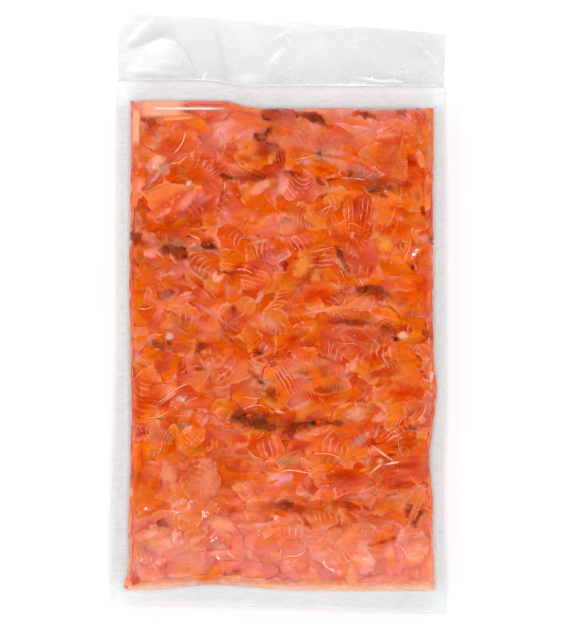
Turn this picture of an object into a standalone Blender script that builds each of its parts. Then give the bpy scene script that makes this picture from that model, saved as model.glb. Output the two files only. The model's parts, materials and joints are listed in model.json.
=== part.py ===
"""A clear vacuum pouch of smoked salmon trimmings, lying flat with the shown face up.

The pouch and the block of fish pressed inside it are one sealed thing. The block is a flat pillow
with steep sides and pointed lower corners. A thin welded margin runs round it at about half its
height, and beyond its upper end a wide header, closed by a cross weld, droops to the table.
Metres, +Z up, +Y towards the header, the underside of the block on z = 0.
"""

import math

import bmesh
import bpy
from mathutils import Vector, noise

# Pouch outline: a 200 x 350 mm bag whose edges wander a little.
POUCH_HALF_WIDTH = 0.0994
POUCH_LEFT_TRIM = 0.0024
LEFT_FLARE = 0.0044
TOP_EDGE_Y = 0.1809
TOP_EDGE_FALL = 0.0120
BOTTOM_EDGE_Y = -0.1743
BOTTOM_EDGE_FALL = 0.0066

# Block outline.
BLOCK_LEFT_X = -0.0896
BLOCK_RIGHT_X = 0.0934
BLOCK_TOP_Y = 0.1230
BLOCK_TOP_STEP = 0.0045
BLOCK_TOP_STEP_X = -0.0235
BLOCK_BOTTOM_Y = -0.1668
BLOCK_BOTTOM_ARCH = 0.0033
BLOCK_BOTTOM_ARCH_X = -0.0380
CORNER_FLARE = 0.0050
CORNER_FLARE_LENGTH = 0.0090

# Heights.
BLOCK_HEIGHT = 0.0186
SEAM_HEIGHT = 0.0085
UPPER_WALL_RUN = 0.0045
LOWER_WALL_RUN = 0.0040
PIECE_SIZE = 0.034
PIECE_LIFT = 0.0011
PIECE_GROOVE = 0.0009
GROOVE_SHARE = 0.16

# Welded film: two webs laid together.
FILM = 0.0005
MARGIN_DROOP = 0.0016
HEADER_REST = 0.0014
HEADER_WAVE = 0.0008
WELD_Y = 0.1355
WELD_STEP = 0.0035
WELD_STEP_X = -0.0320
WELD_WIDTH = 0.0024
WELD_RIDGE = 0.0004

# Mesh steps.
MARGIN_STEPS = 2
WALL_STEPS = 4
ACROSS_STEPS = 22
ALONG_STEPS = 38
NECK_STEPS = 3
HEADER_STEPS = 6


def clamp(value):
    return min(max(value, 0.0), 1.0)


def smooth_step(value):
    value = clamp(value)
    return value * value * (3.0 - 2.0 * value)


def bump(value, middle, reach):
    """A smooth hill of height 1 at middle, about twice reach wide."""
    return math.exp(-(((value - middle) / reach) ** 2))


def blend(low, high, share):
    return low + (high - low) * share


# Outline of the pouch and of the block inside it.


def pouch_left(y):
    return -POUCH_HALF_WIDTH + POUCH_LEFT_TRIM - LEFT_FLARE * smooth_step(-y / 0.165)


def pouch_right(y):
    shoulder_dip = 0.0017 * bump(y, 0.115, 0.016)
    waist_dip = 0.0024 * bump(y, -0.112, 0.020)
    lower_spread = 0.0020 * bump(y, BOTTOM_EDGE_Y - BOTTOM_EDGE_FALL, 0.014)
    upper_spread = 0.0013 * bump(y, TOP_EDGE_Y - TOP_EDGE_FALL, 0.020)
    return POUCH_HALF_WIDTH - shoulder_dip - waist_dip + lower_spread + upper_spread


def across_share(x):
    return clamp((x + POUCH_HALF_WIDTH) / (2.0 * POUCH_HALF_WIDTH))


def pouch_top(x):
    return TOP_EDGE_Y - TOP_EDGE_FALL * across_share(x) ** 1.4


def pouch_bottom(x):
    return BOTTOM_EDGE_Y - BOTTOM_EDGE_FALL * across_share(x) ** 1.3


def block_left(y):
    corner = CORNER_FLARE * bump(y, BLOCK_BOTTOM_Y, CORNER_FLARE_LENGTH)
    belly = 0.0010 * bump(y, 0.015, 0.060) + 0.0014 * bump(y, -0.130, 0.030)
    return BLOCK_LEFT_X - corner - belly


def block_right(y):
    bulge = 0.0019 * bump(y, -0.046, 0.014)
    waist = 0.0022 * bump(y, -0.088, 0.016)
    foot = 0.0010 * bump(y, BLOCK_BOTTOM_Y, 0.012)
    return BLOCK_RIGHT_X + bulge - waist + foot


def block_top(x):
    left_share = smooth_step((BLOCK_TOP_STEP_X - x) / 0.016 + 0.5)
    return BLOCK_TOP_Y + BLOCK_TOP_STEP * left_share


def block_bottom(x):
    return BLOCK_BOTTOM_Y + BLOCK_BOTTOM_ARCH * bump(x, BLOCK_BOTTOM_ARCH_X, 0.030)


def weld_line(x):
    return WELD_Y + WELD_STEP * smooth_step((WELD_STEP_X - x) / 0.030 + 0.5)


# Stations of the mesh across and along the pouch.


def wall_offsets():
    """Distances in from the block's foot, close together where the wall is steep."""
    turns = [0.5 * math.pi * step / WALL_STEPS for step in range(WALL_STEPS + 1)]
    return [UPPER_WALL_RUN * (1.0 - math.cos(turn)) for turn in turns]


def margin_stations(outer, inner):
    return [blend(outer, inner, step / MARGIN_STEPS) for step in range(MARGIN_STEPS)]


def block_stations(low, high, steps):
    """From the low foot, up its wall, over the block and down to the high foot."""
    rising = [low + offset for offset in wall_offsets()]
    falling = [high - offset for offset in reversed(wall_offsets())]
    middle = [blend(rising[-1], falling[0], step / steps) for step in range(1, steps)]
    return rising + middle + falling


def columns_at(y):
    left = margin_stations(pouch_left(y), block_left(y))
    right = margin_stations(pouch_right(y), block_right(y))
    return left + block_stations(block_left(y), block_right(y), ACROSS_STEPS) + right[::-1]


def rows_at(x):
    weld = weld_line(x)
    weld_low = weld - 0.5 * WELD_WIDTH
    weld_high = weld + 0.5 * WELD_WIDTH
    foot = margin_stations(pouch_bottom(x), block_bottom(x))
    block = block_stations(block_bottom(x), block_top(x), ALONG_STEPS)
    neck = [blend(block_top(x), weld_low, step / NECK_STEPS) for step in range(1, NECK_STEPS)]
    header = [blend(weld_high, pouch_top(x), step / HEADER_STEPS) for step in range(HEADER_STEPS + 1)]
    return foot + block + neck + [weld_low, weld] + header


# Heights of the two faces.


def wall_rise(distance, run):
    """How far up its wall the block is, from 0 at the foot to 1, along a quarter of an ellipse."""
    return math.sqrt(1.0 - (1.0 - clamp(distance / run)) ** 2)


def block_rise(x, y, run):
    across = min(x - block_left(y), block_right(y) - x)
    along = min(y - block_bottom(x), block_top(x) - y)
    return wall_rise(across, run) * wall_rise(along, run)


def pressed_pieces(x, y):
    """Lift of the upper face: each piece stands a little higher or lower, with a groove round it."""
    place = Vector((x, 1.4 * y, 0.0)) / PIECE_SIZE
    distances, centres = noise.voronoi(place)
    groove = math.exp(-(((distances[1] - distances[0]) / GROOVE_SHARE) ** 2))
    lift = noise.noise(centres[0] * 3.7) + 0.6 * noise.noise(place * 1.9)
    return PIECE_LIFT * lift - PIECE_GROOVE * groove


def web_height(x, y):
    """Middle of the film: level with the seam round the block, drooping outwards."""
    beyond = max(block_left(y) - x, x - block_right(y), block_bottom(x) - y, 0.0)
    height = SEAM_HEIGHT - MARGIN_DROOP * smooth_step(beyond / 0.010)
    up_header = (y - block_top(x)) / (pouch_top(x) - block_top(x))
    height -= (height - HEADER_REST) * smooth_step(up_header)
    wave = HEADER_WAVE * math.sin(70.0 * x + 1.1) * math.sin(46.0 * (y - BLOCK_TOP_Y))
    return height + wave * smooth_step(3.0 * up_header)


def weld_ridge(x, y):
    return WELD_RIDGE * clamp(1.0 - abs(y - weld_line(x)) / (0.5 * WELD_WIDTH))


def upper_face(x, y):
    lift = BLOCK_HEIGHT - SEAM_HEIGHT + pressed_pieces(x, y)
    return web_height(x, y) + 0.5 * FILM + block_rise(x, y, UPPER_WALL_RUN) * lift + weld_ridge(x, y)


def lower_face(x, y):
    drop = SEAM_HEIGHT - 0.5 * FILM
    return web_height(x, y) - 0.5 * FILM - block_rise(x, y, LOWER_WALL_RUN) * drop


# Mesh, material and object.


def add_face_sheet(bm, columns, rows, height_of):
    """One face of the pouch as a grid, with its points moved to their stations."""
    grid = bmesh.ops.create_grid(bm, x_segments=columns, y_segments=rows, size=1.0)
    for vert in grid["verts"]:
        column = round(0.5 * (vert.co.x + 1.0) * columns)
        row = round(0.5 * (vert.co.y + 1.0) * rows)
        x = columns_at(vert.co.y * TOP_EDGE_Y)[column]
        y = rows_at(x)[row]
        x = columns_at(y)[column]
        vert.co = Vector((x, y, height_of(x, y)))
    return grid["verts"]


def pouch_mesh():
    columns = len(columns_at(0.0)) - 1
    rows = len(rows_at(0.0)) - 1
    bm = bmesh.new()
    add_face_sheet(bm, columns, rows, upper_face)
    lower = add_face_sheet(bm, columns, rows, lower_face)
    bmesh.ops.reverse_faces(bm, faces=list({face for vert in lower for face in vert.link_faces}))
    rim = [edge for edge in bm.edges if edge.is_boundary]
    bmesh.ops.bridge_loops(bm, edges=rim)
    bmesh.ops.recalc_face_normals(bm, faces=bm.faces)
    mesh = bpy.data.meshes.new("sealed_pouch")
    bm.to_mesh(mesh)
    bm.free()
    mesh.shade_smooth()
    mesh.set_sharp_from_angle(angle=math.radians(50.0))
    return mesh


def salmon_under_film():
    material = bpy.data.materials.new("salmon_under_film")
    material.use_nodes = True
    shader = material.node_tree.nodes["Principled BSDF"]
    shader.inputs["Base Color"].default_value = (0.84, 0.19, 0.08, 1.0)
    shader.inputs["Roughness"].default_value = 0.25
    shader.inputs["Metallic"].default_value = 0.0
    return material


def main():
    for obj in list(bpy.data.objects):
        bpy.data.objects.remove(obj)
    mesh = pouch_mesh()
    mesh.materials.append(salmon_under_film())
    pouch = bpy.data.objects.new("sealed_pouch", mesh)
    bpy.context.scene.collection.objects.link(pouch)


main()
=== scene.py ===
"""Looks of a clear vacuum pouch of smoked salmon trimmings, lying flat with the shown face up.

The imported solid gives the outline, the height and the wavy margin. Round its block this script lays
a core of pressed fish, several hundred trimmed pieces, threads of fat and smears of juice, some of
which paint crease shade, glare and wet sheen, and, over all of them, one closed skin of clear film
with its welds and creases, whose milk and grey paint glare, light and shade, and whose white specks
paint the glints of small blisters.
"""

import json
import math
import random

import bmesh
import bpy
import numpy as np
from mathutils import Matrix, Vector, noise
from mathutils.bvhtree import BVHTree

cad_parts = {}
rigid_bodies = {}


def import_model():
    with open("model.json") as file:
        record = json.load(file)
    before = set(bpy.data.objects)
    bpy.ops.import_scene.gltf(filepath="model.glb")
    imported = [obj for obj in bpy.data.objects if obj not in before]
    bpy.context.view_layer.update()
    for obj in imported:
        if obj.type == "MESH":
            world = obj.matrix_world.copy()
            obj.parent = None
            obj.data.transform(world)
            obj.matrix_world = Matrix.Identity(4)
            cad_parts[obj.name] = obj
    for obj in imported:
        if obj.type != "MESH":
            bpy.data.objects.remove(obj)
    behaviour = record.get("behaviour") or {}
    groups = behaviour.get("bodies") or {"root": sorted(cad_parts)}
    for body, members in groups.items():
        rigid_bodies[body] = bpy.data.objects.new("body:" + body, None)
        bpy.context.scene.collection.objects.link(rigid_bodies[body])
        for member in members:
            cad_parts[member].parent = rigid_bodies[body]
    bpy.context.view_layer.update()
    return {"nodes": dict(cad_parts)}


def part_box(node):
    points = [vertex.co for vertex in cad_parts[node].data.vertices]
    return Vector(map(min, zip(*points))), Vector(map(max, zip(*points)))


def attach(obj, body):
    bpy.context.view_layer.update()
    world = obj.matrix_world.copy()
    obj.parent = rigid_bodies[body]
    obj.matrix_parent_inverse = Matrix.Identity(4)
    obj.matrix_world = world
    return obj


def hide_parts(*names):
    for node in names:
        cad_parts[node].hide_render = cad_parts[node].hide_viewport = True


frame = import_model()

POUCH = "sealed_pouch"
MM = 0.001
LOW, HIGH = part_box(POUCH)
HEIGHT = HIGH.z - LOW.z
MIDDLE_Z = 0.5 * (LOW.z + HIGH.z)
SEED = 41

# How the contents sit under the film.
FOOT_THICKNESS = 1.5 * MM  # the block starts where the solid is thicker than this
ARCH_CLEARANCE = 5.0 * MM  # the lower edge arches up by less than this
SKIN_GAP = 0.35 * MM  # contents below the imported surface
CORE_DEPTH = 2.4 * MM
CORE_INSET = 3.0 * MM
CORE_LUMPS = 1.2 * MM
FORM_INSET = 0.5 * MM
WALL_RUN = 4.5 * MM  # from the block's foot to its flat top
FORM_WALL_STEPS = 6
FORM_STEPS = (60, 92)  # between the walls, across and upwards
FILM_CLEARANCE = 0.10 * MM

# Flesh colours, linear, from the palest fat to the darkest juice.
FLESH = {
    "cream": (0.93, 0.60, 0.42),
    "peach": (0.93, 0.36, 0.19),
    "yolk": (0.98, 0.33, 0.045),
    "glow": (0.98, 0.30, 0.070),
    "blush": (0.88, 0.26, 0.150),
    "coral": (0.80, 0.125, 0.070),
    "rose": (0.70, 0.100, 0.070),
    "orange": (0.88, 0.140, 0.005),
    "amber": (0.92, 0.190, 0.0015),
    "ochre": (0.66, 0.080, 0.001),
    "deep": (0.78, 0.090, 0.002),
    "ember": (0.60, 0.052, 0.001),
    "lilac": (0.75, 0.300, 0.270),
    "beige": (0.62, 0.245, 0.115),
    "mauve": (0.50, 0.095, 0.058),
    "umber": (0.36, 0.055, 0.014),
    "maroon": (0.42, 0.034, 0.006),
    "black": (0.15, 0.018, 0.007),
    "crease": (0.78, 0.64, 0.60),
    "fat": (0.95, 0.36, 0.21),
}


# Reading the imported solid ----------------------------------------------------


def tree_of(obj):
    corners = [vert.co.copy() for vert in obj.data.vertices]
    return BVHTree.FromPolygons(corners, [face.vertices[:] for face in obj.data.polygons])


SOLID = tree_of(frame["nodes"][POUCH])


def solid_height(x, y, side):
    """Height of the upper (side 1) or lower (side -1) face, or None beside the pouch."""
    hit = SOLID.ray_cast(Vector((x, y, MIDDLE_Z + side * HEIGHT)), Vector((0.0, 0.0, -side)))
    return hit[0].z if hit[0] else None


def thickness(x, y):
    upper = solid_height(x, y, 1)
    lower = solid_height(x, y, -1)
    return 0.0 if upper is None or lower is None else upper - lower


def edge_distance(start, step, least):
    """Distance from start along step at which the solid gets thinner than least."""
    near, far = 0.0, 0.25
    for _ in range(22):
        middle = 0.5 * (near + far)
        place = start + step * middle
        if thickness(place.x, place.y) > least:
            near = middle
        else:
            far = middle
    return near


class Outline:
    """Left, right, bottom and top edge of the solid wherever it is thicker than least."""

    def __init__(self, centre, least):
        top = centre.y + edge_distance(centre, Vector((0, 1, 0)), least)
        bottom = centre.y - edge_distance(centre, Vector((0, -1, 0)), least)
        left = centre.x - edge_distance(centre, Vector((-1, 0, 0)), least)
        right = centre.x + edge_distance(centre, Vector((1, 0, 0)), least)
        self.centre = centre
        self.ys = np.linspace(bottom + ARCH_CLEARANCE, top - 0.3 * MM, 90)
        self.xs = np.linspace(left + 3.0 * MM, right - 3.0 * MM, 60)
        self.lefts = self.walk(self.ys, "y", Vector((-1, 0, 0)), least)
        self.rights = self.walk(self.ys, "y", Vector((1, 0, 0)), least)
        self.bottoms = self.walk(self.xs, "x", Vector((0, -1, 0)), least)
        self.tops = self.walk(self.xs, "x", Vector((0, 1, 0)), least)

    def walk(self, values, axis, step, least):
        found = []
        for value in values:
            start = self.centre.copy()
            setattr(start, axis, value)
            end = start + step * edge_distance(start, step, least)
            found.append(end.x if axis == "y" else end.y)
        return np.array(found)

    def left(self, y):
        return np.interp(y, self.ys, self.lefts)

    def right(self, y):
        return np.interp(y, self.ys, self.rights)

    def bottom(self, x):
        return np.interp(x, self.xs, self.bottoms)

    def top(self, x):
        return np.interp(x, self.xs, self.tops)


BLOCK = Outline(Vector((0.0, -20.0 * MM, 0.0)), FOOT_THICKNESS)
BAG = Outline(Vector((0.0, 0.0, 0.0)), 0.2 * MM)
BLOCK_LEFT, BLOCK_RIGHT = float(BLOCK.lefts.mean()), float(BLOCK.rights.mean())
BLOCK_BOTTOM, BLOCK_TOP = float(BLOCK.bottoms.mean()), float(BLOCK.tops.mean())


# Node helpers ----------------------------------------------------------------


def socket(sockets, name):
    return next(s for s in sockets if s.name == name and s.enabled)


class Nodes:
    """A node tree in the making: each method adds what its name says and returns the result."""

    def __init__(self, tree):
        self.tree = tree

    def feed(self, target, value):
        """Links an output to an input, or sets the input to a plain value."""
        if isinstance(value, bpy.types.NodeSocket):
            self.tree.links.new(value, target)
        else:
            target.default_value = value

    def add(self, kind, inputs=None, **settings):
        """A node with its properties set and its inputs fed by name or by place."""
        node = self.tree.nodes.new(kind)
        for name, value in settings.items():
            setattr(node, name, value)
        for name, value in (inputs or {}).items():
            self.feed(node.inputs[name] if isinstance(name, int) else socket(node.inputs, name), value)
        return node

    def math(self, operation, *values, clamp=False):
        return self.add("ShaderNodeMath", dict(enumerate(values)), operation=operation,
                        use_clamp=clamp).outputs[0]

    def times(self, *values, clamp=False):
        return self.math("MULTIPLY", *values, clamp=clamp)

    def plus(self, *values):
        return self.math("ADD", *values)

    def less(self, *values):
        return self.math("SUBTRACT", *values)

    def vector(self, operation, *values):
        return self.add("ShaderNodeVectorMath", dict(enumerate(values)), operation=operation).outputs[0]

    def scaled(self, vector, scale):
        return self.add("ShaderNodeVectorMath", {0: vector, "Scale": scale}, operation="SCALE").outputs[0]

    def parts(self, vector):
        return self.add("ShaderNodeSeparateXYZ", {0: vector}).outputs

    def place(self):
        return self.add("ShaderNodeTexCoord").outputs["Object"]

    def attribute(self, name, output="Fac"):
        return self.add("ShaderNodeAttribute", attribute_name=name).outputs[output]

    def ramp(self, value, low, high, low_out=0.0, high_out=1.0, smooth=True):
        """low_out at low, high_out at high, eased between them unless smooth is off."""
        ends = {"Value": value, "From Min": low, "From Max": high, "To Min": low_out, "To Max": high_out}
        kind = "SMOOTHSTEP" if smooth else "LINEAR"
        return self.add("ShaderNodeMapRange", ends, interpolation_type=kind).outputs[0]

    def mix(self, share, first, second, blend="MIX"):
        """The first colour, turning to the second as share goes from 0 to 1."""
        node = self.add("ShaderNodeMix", data_type="RGBA", blend_type=blend)
        for place, value in ((0, share), (6, first), (7, second)):
            plain = place > 0 and isinstance(value, tuple)
            self.feed(node.inputs[place], (*value, 1.0) if plain else value)
        return node.outputs[2]

    def tinted(self, share, colour, tint):
        """The colour, multiplied by a tint where share is 1."""
        return self.mix(share, colour, self.mix(1.0, colour, tint, "MULTIPLY"))

    def noise(self, place, scale, detail=2.0, rough=0.5, distortion=0.0):
        inputs = {"Vector": place, "Scale": scale, "Detail": detail, "Roughness": rough,
                  "Distortion": distortion}
        return self.add("ShaderNodeTexNoise", inputs).outputs["Fac"]

    def waver(self, noise, reach):
        """A noise turned into a swing of half the reach either way."""
        return self.times(self.less(noise, 0.5), reach)

    def use(self, made, **inputs):
        """A shader group, with its inputs fed by name."""
        return self.add("ShaderNodeGroup", inputs, node_tree=made).outputs

    def shader_mix(self, share, first, second):
        inputs = {0: share, 1: first.outputs[0], 2: second.outputs[0]}
        return self.add("ShaderNodeMixShader", inputs)

    def bump(self, height, strength, distance):
        inputs = {"Strength": strength, "Distance": distance, "Height": height}
        return self.add("ShaderNodeBump", inputs).outputs[0]


def group(name, inputs, outputs):
    """An empty shader group with named float, vector or colour sockets."""
    tree = bpy.data.node_groups.new(name, "ShaderNodeTree")
    for in_out, labels in (("INPUT", inputs), ("OUTPUT", outputs)):
        for label, kind in labels.items():
            tree.interface.new_socket(label, in_out=in_out, socket_type="NodeSocket" + kind)
    return Nodes(tree), tree.nodes.new("NodeGroupInput").outputs, tree.nodes.new("NodeGroupOutput").inputs


def finished(n, made, **outputs):
    """Feeds a group's outputs by name and returns its tree."""
    for name, value in outputs.items():
        n.feed(made[name], value)
    return n.tree


def new_material(name):
    made = bpy.data.materials.new(name)
    made.use_nodes = True
    made.node_tree.nodes.clear()
    return made, Nodes(made.node_tree)


def shown_by(made, n, shader):
    """The material, with the shader as its surface."""
    n.add("ShaderNodeOutputMaterial", {"Surface": shader.outputs[0]})
    return made


# Shader groups ---------------------------------------------------------------


def muscle_sheets():
    """Thin pale sheets between the muscle blocks, and the fine fibres that run across them."""
    n, given, made = group(
        "Muscle Sheets",
        {"Grain": "Vector", "Spacing": "Float", "Bend": "Float", "Waver": "Float"},
        {"Sheets": "Float", "Bands": "Float", "Fibres": "Float"},
    )
    grain = given["Grain"]
    along, across, _ = n.parts(grain)
    arch = n.times(n.times(across, across), given["Bend"])
    waver = n.waver(n.noise(grain, 130.0), given["Waver"])
    share = n.math("FRACT", n.plus(n.math("DIVIDE", n.plus(along, arch), given["Spacing"]), waver))
    centred = n.math("ABSOLUTE", n.less(share, 0.5))
    broken = n.ramp(n.noise(grain, 95.0), 0.40, 0.60)
    fibres = n.noise(n.vector("MULTIPLY", grain, (110.0, 900.0, 500.0)), 1.0, 3.0, 0.6)
    return finished(n, made, Sheets=n.times(n.ramp(centred, 0.30, 0.49), broken),
                    Bands=n.ramp(share, 0.0, 1.0, smooth=False), Fibres=fibres)


def flake_mosaic():
    """Small overlapping flakes: a tone for each, a soft turn from painted shade to painted light across it,
    and a pale painted highlight along the rim of its lit side."""
    n, given, made = group("Flake Mosaic", {"Place": "Vector", "Scale": "Float", "Warp": "Float"},
                           {"Tone": "Float", "Turn": "Float", "Rim": "Float"})
    centre = (0.5, 0.5, 0.5)
    wander = n.add("ShaderNodeTexNoise", {"Vector": given["Place"], "Scale": 52.0, "Detail": 3.0})
    wander = n.scaled(n.vector("SUBTRACT", wander.outputs["Color"], centre), given["Warp"])
    flakes = {"Vector": n.vector("ADD", given["Place"], wander), "Scale": given["Scale"]}
    cells = n.add("ShaderNodeTexVoronoi", {**flakes, "Smoothness": 0.22}, feature="SMOOTH_F1").outputs
    edges = n.add("ShaderNodeTexVoronoi", flakes, feature="DISTANCE_TO_EDGE").outputs
    from_middle = n.vector("SUBTRACT", flakes["Vector"], cells["Position"])
    aim = n.vector("NORMALIZE", n.vector("SUBTRACT", cells["Color"], centre))
    lean = n.add("ShaderNodeVectorMath", {0: from_middle, 1: aim}, operation="DOT_PRODUCT")
    turn = n.ramp(n.times(lean.outputs["Value"], given["Scale"]), -0.45, 0.45)
    tone = n.add("ShaderNodeSeparateColor", {0: cells["Color"]}).outputs[0]
    rim = n.times(n.ramp(edges["Distance"], 0.11, 0.0), n.ramp(turn, 0.55, 0.85))
    return finished(n, made, Tone=tone, Turn=turn, Rim=rim)


def flesh_shades(mosaic):
    """Flesh tones over a colour, with painted shade on one side of each small flake and painted light on the
    other.
    """
    n, given, made = group("Flesh Shades", {"Color": "Color", "Place": "Vector", "Scale": "Float"},
                           {"Color": "Color"})
    small = n.use(mosaic, Place=given["Place"], Scale=given["Scale"], Warp=0.020)
    # Painted shade: each small flake turns deeper towards one side.
    colour = n.tinted(n.ramp(small["Turn"], 0.0, 0.70, 0.95, 0.0), given["Color"], (0.90, 0.54, 0.06))
    # Painted light: lighter towards its other side.
    colour = n.mix(n.ramp(small["Turn"], 0.45, 1.0, 0.0, 0.50), colour, FLESH["glow"])
    colour = n.mix(n.ramp(small["Tone"], 0.62, 0.84, 0.0, 0.40), colour, FLESH["rose"])
    colour = n.mix(n.ramp(small["Tone"], 0.40, 0.14, 0.0, 0.50), colour, FLESH["amber"])
    # Painted highlight: a pale line along the edge of each flake's lit side.
    colour = n.mix(n.times(small["Rim"], 0.16), colour, FLESH["cream"])
    return finished(n, made, Color=colour)


def juice_field(shades):
    """Colour of the juices that blend neighbouring pieces: deeper in drifts, and paler at both ends as
    painted glare.
    """
    n, given, made = group("Juice Field", {"Place": "Vector"}, {"Color": "Color"})
    place = given["Place"]
    up = n.parts(place)[1]
    drift = n.noise(place, 34.0, 2.0, 0.5, 0.8)
    colour = n.mix(n.ramp(drift, 0.36, 0.62), FLESH["deep"], FLESH["coral"])
    fine = n.noise(n.vector("MULTIPLY", place, (70.0, 190.0, 70.0)), 1.0, 3.0, 0.55, 1.6)
    colour = n.mix(n.ramp(fine, 0.42, 0.66), colour, FLESH["orange"])
    colour = n.use(shades, Color=colour, Place=place, Scale=56.0)["Color"]
    # Painted glare: paler towards the lower and the upper end.
    colour = n.mix(n.ramp(up, -0.085, -0.165, 0.0, 0.55), colour, FLESH["blush"])
    colour = n.mix(n.ramp(up, 0.085, 0.130, 0.0, 0.40), colour, FLESH["blush"])
    return finished(n, made, Color=colour)


def flesh_grain():
    """Cloudy colour and relief in the flesh itself: deeper, redder drifts, tiny pale flecks as painted
    glints, and painted shade, glare and light.
    """
    n, given, made = group("Flesh Grain", {"Color": "Color", "Place": "Vector", "Depth": "Float"},
                           {"Color": "Color", "Relief": "Float"})
    place = given["Place"]
    cloud = n.noise(place, 130.0, 3.0, 0.55, 0.8)
    colour = n.tinted(n.ramp(cloud, 0.40, 0.66, 0.0, 0.80), given["Color"], (0.90, 0.60, 0.18))
    pale = n.noise(place, 300.0, 2.0, 0.5, 1.0)
    colour = n.mix(n.ramp(pale, 0.60, 0.80, 0.0, 0.30), colour, FLESH["glow"])
    # Painted glints: tiny cream flecks.
    fleck_glint = n.noise(place, 620.0, 1.0)
    colour = n.mix(n.ramp(fleck_glint, 0.72, 0.79, 0.0, 0.75), colour, FLESH["cream"])
    # Painted shade: pieces that lie deeper, down among the others, are darker.
    colour = n.tinted(n.ramp(given["Depth"], 0.0009, 0.0034), colour, (0.82, 0.58, 0.46))
    # Painted glare: the lower end is paler and the upper end a little paler. The very foot turns yellow as
    # painted light on the bottom wall, and the middle is a little deeper.
    up = n.parts(place)[1]
    foot = n.ramp(up, -0.1600, -0.1645, 0.0, 0.70)
    up = n.plus(up, n.waver(n.noise(place, 22.0), 0.09))
    colour = n.mix(n.ramp(up, -0.090, -0.168, 0.0, 0.55), colour, (1.0, 0.37, 0.155))
    colour = n.mix(foot, colour, (1.0, 0.50, 0.15))
    colour = n.mix(n.ramp(up, 0.080, 0.125, 0.0, 0.22), colour, FLESH["blush"])
    middle = n.times(n.ramp(up, -0.125, -0.085), n.ramp(up, 0.120, 0.090))
    colour = n.tinted(middle, colour, (0.92, 0.82, 0.72))
    # Painted shade and light of broad folds and swells: darker and redder in the folds, paler on the swells.
    swell = n.noise(n.vector("MULTIPLY", place, (0.7, 1.3, 1.0)), 42.0, 2.0, 0.5, 0.6)
    fold_shade = n.mix(1.0, colour, (0.90, 0.62, 0.34), "MULTIPLY")
    colour = n.mix(n.ramp(swell, 0.46, 0.66, 0.0, 0.75), colour, fold_shade)
    colour = n.mix(n.ramp(swell, 0.46, 0.30, 0.0, 0.30), colour, FLESH["peach"])
    return finished(n, made, Color=colour, Relief=n.plus(cloud, n.times(pale, 0.5)))


def wet_flesh():
    """Wet flesh: light tones turn lighter and pinker, deep ones a purer orange."""
    n, given, made = group("Wet Flesh", {"Color": "Color"}, {"Color": "Color"})
    red, green, blue = n.add("ShaderNodeSeparateColor", {0: given["Color"]}).outputs
    red = n.math("MINIMUM", n.times(n.math("POWER", red, 1.30), 1.01), 0.95)
    green = n.times(n.math("POWER", green, 1.16), 1.25)
    blue = n.math("MINIMUM", n.times(n.math("POWER", blue, 1.60), 6.2), 0.38)
    return finished(n, made, Color=n.add("ShaderNodeCombineColor", {0: red, 1: green, 2: blue}).outputs[0])


GROUPS = {"sheets": muscle_sheets(), "grain": flesh_grain()}
GROUPS["shades"] = flesh_shades(flake_mosaic())
GROUPS["field"] = juice_field(GROUPS["shades"])
GROUPS["wet"] = wet_flesh()


# Materials -------------------------------------------------------------------


def salmon_flesh():
    """Flesh of a trimmed piece, coloured from its own attributes; its rim takes on the juices."""
    made, n = new_material("salmon_flesh")
    place, grain = n.place(), n.attribute("grain", "Vector")
    across, up, _ = n.parts(n.attribute("local", "Vector"))
    spacing, bend, strength = n.parts(n.attribute("sheet", "Vector"))
    rim, soft = n.attribute("rim"), n.attribute("soft")

    uneven = n.waver(n.noise(grain, 90.0), 2.2)
    turned = n.ramp(n.plus(n.plus(across, n.times(up, 0.6)), uneven), -0.6, 0.8)
    colour = n.mix(turned, n.attribute("flesh", "Color"), n.attribute("flesh_far", "Color"))
    stretched = n.vector("MULTIPLY", grain, (1.0, 1.8, 1.0))
    colour = n.use(GROUPS["shades"], Color=colour, Place=stretched, Scale=58.0)["Color"]
    muscle = n.use(GROUPS["sheets"], Grain=grain, Spacing=spacing, Bend=bend, Waver=1.1)
    band = n.times(n.ramp(muscle["Bands"], 0.1, 1.0, 0.0, 0.85), strength)
    colour = n.tinted(band, colour, (0.86, 0.50, 0.20))
    # Painted sheen along the fibres: a little darker between them, lighter along some of them.
    satin_sheen_dark = n.ramp(muscle["Fibres"], 0.30, 0.55, 0.22, 0.0)
    colour = n.tinted(satin_sheen_dark, colour, (0.88, 0.66, 0.45))
    shine = n.ramp(muscle["Fibres"], 0.56, 0.78, 0.0, 0.20)
    colour = n.mix(shine, colour, FLESH["glow"])
    grained = n.use(GROUPS["grain"], Color=colour, Place=place, Depth=n.attribute("depth"))
    shown = n.times(n.times(muscle["Sheets"], strength), 0.58)
    colour = n.mix(shown, grained["Color"], (0.97, 0.50, 0.30))
    ragged = n.plus(rim, n.times(n.less(grained["Relief"], 0.75), 0.9))
    edge = n.times(n.ramp(ragged, 0.12, 0.92), soft)
    colour = n.mix(edge, colour, n.use(GROUPS["field"], Place=place)["Color"])
    # Painted highlight: a pale line along parts of each piece's rim.
    lip_glint = n.times(n.ramp(rim, 0.88, 0.97), n.ramp(n.noise(place, 60.0), 0.52, 0.66))
    colour = n.mix(n.times(lip_glint, 0.10), colour, FLESH["peach"])
    relief = n.plus(grained["Relief"], n.times(muscle["Fibres"], 0.8))
    return shown_by(made, n, n.add("ShaderNodeBsdfPrincipled", {
        "Base Color": n.use(GROUPS["wet"], Color=colour)["Color"], "Roughness": 0.55,
        "Specular IOR Level": 0.0, "Normal": n.bump(relief, 0.07, 0.0005),
        "Subsurface Weight": 0.30, "Subsurface Radius": (1.0, 0.55, 0.35), "Subsurface Scale": 0.0016,
    }))


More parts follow.
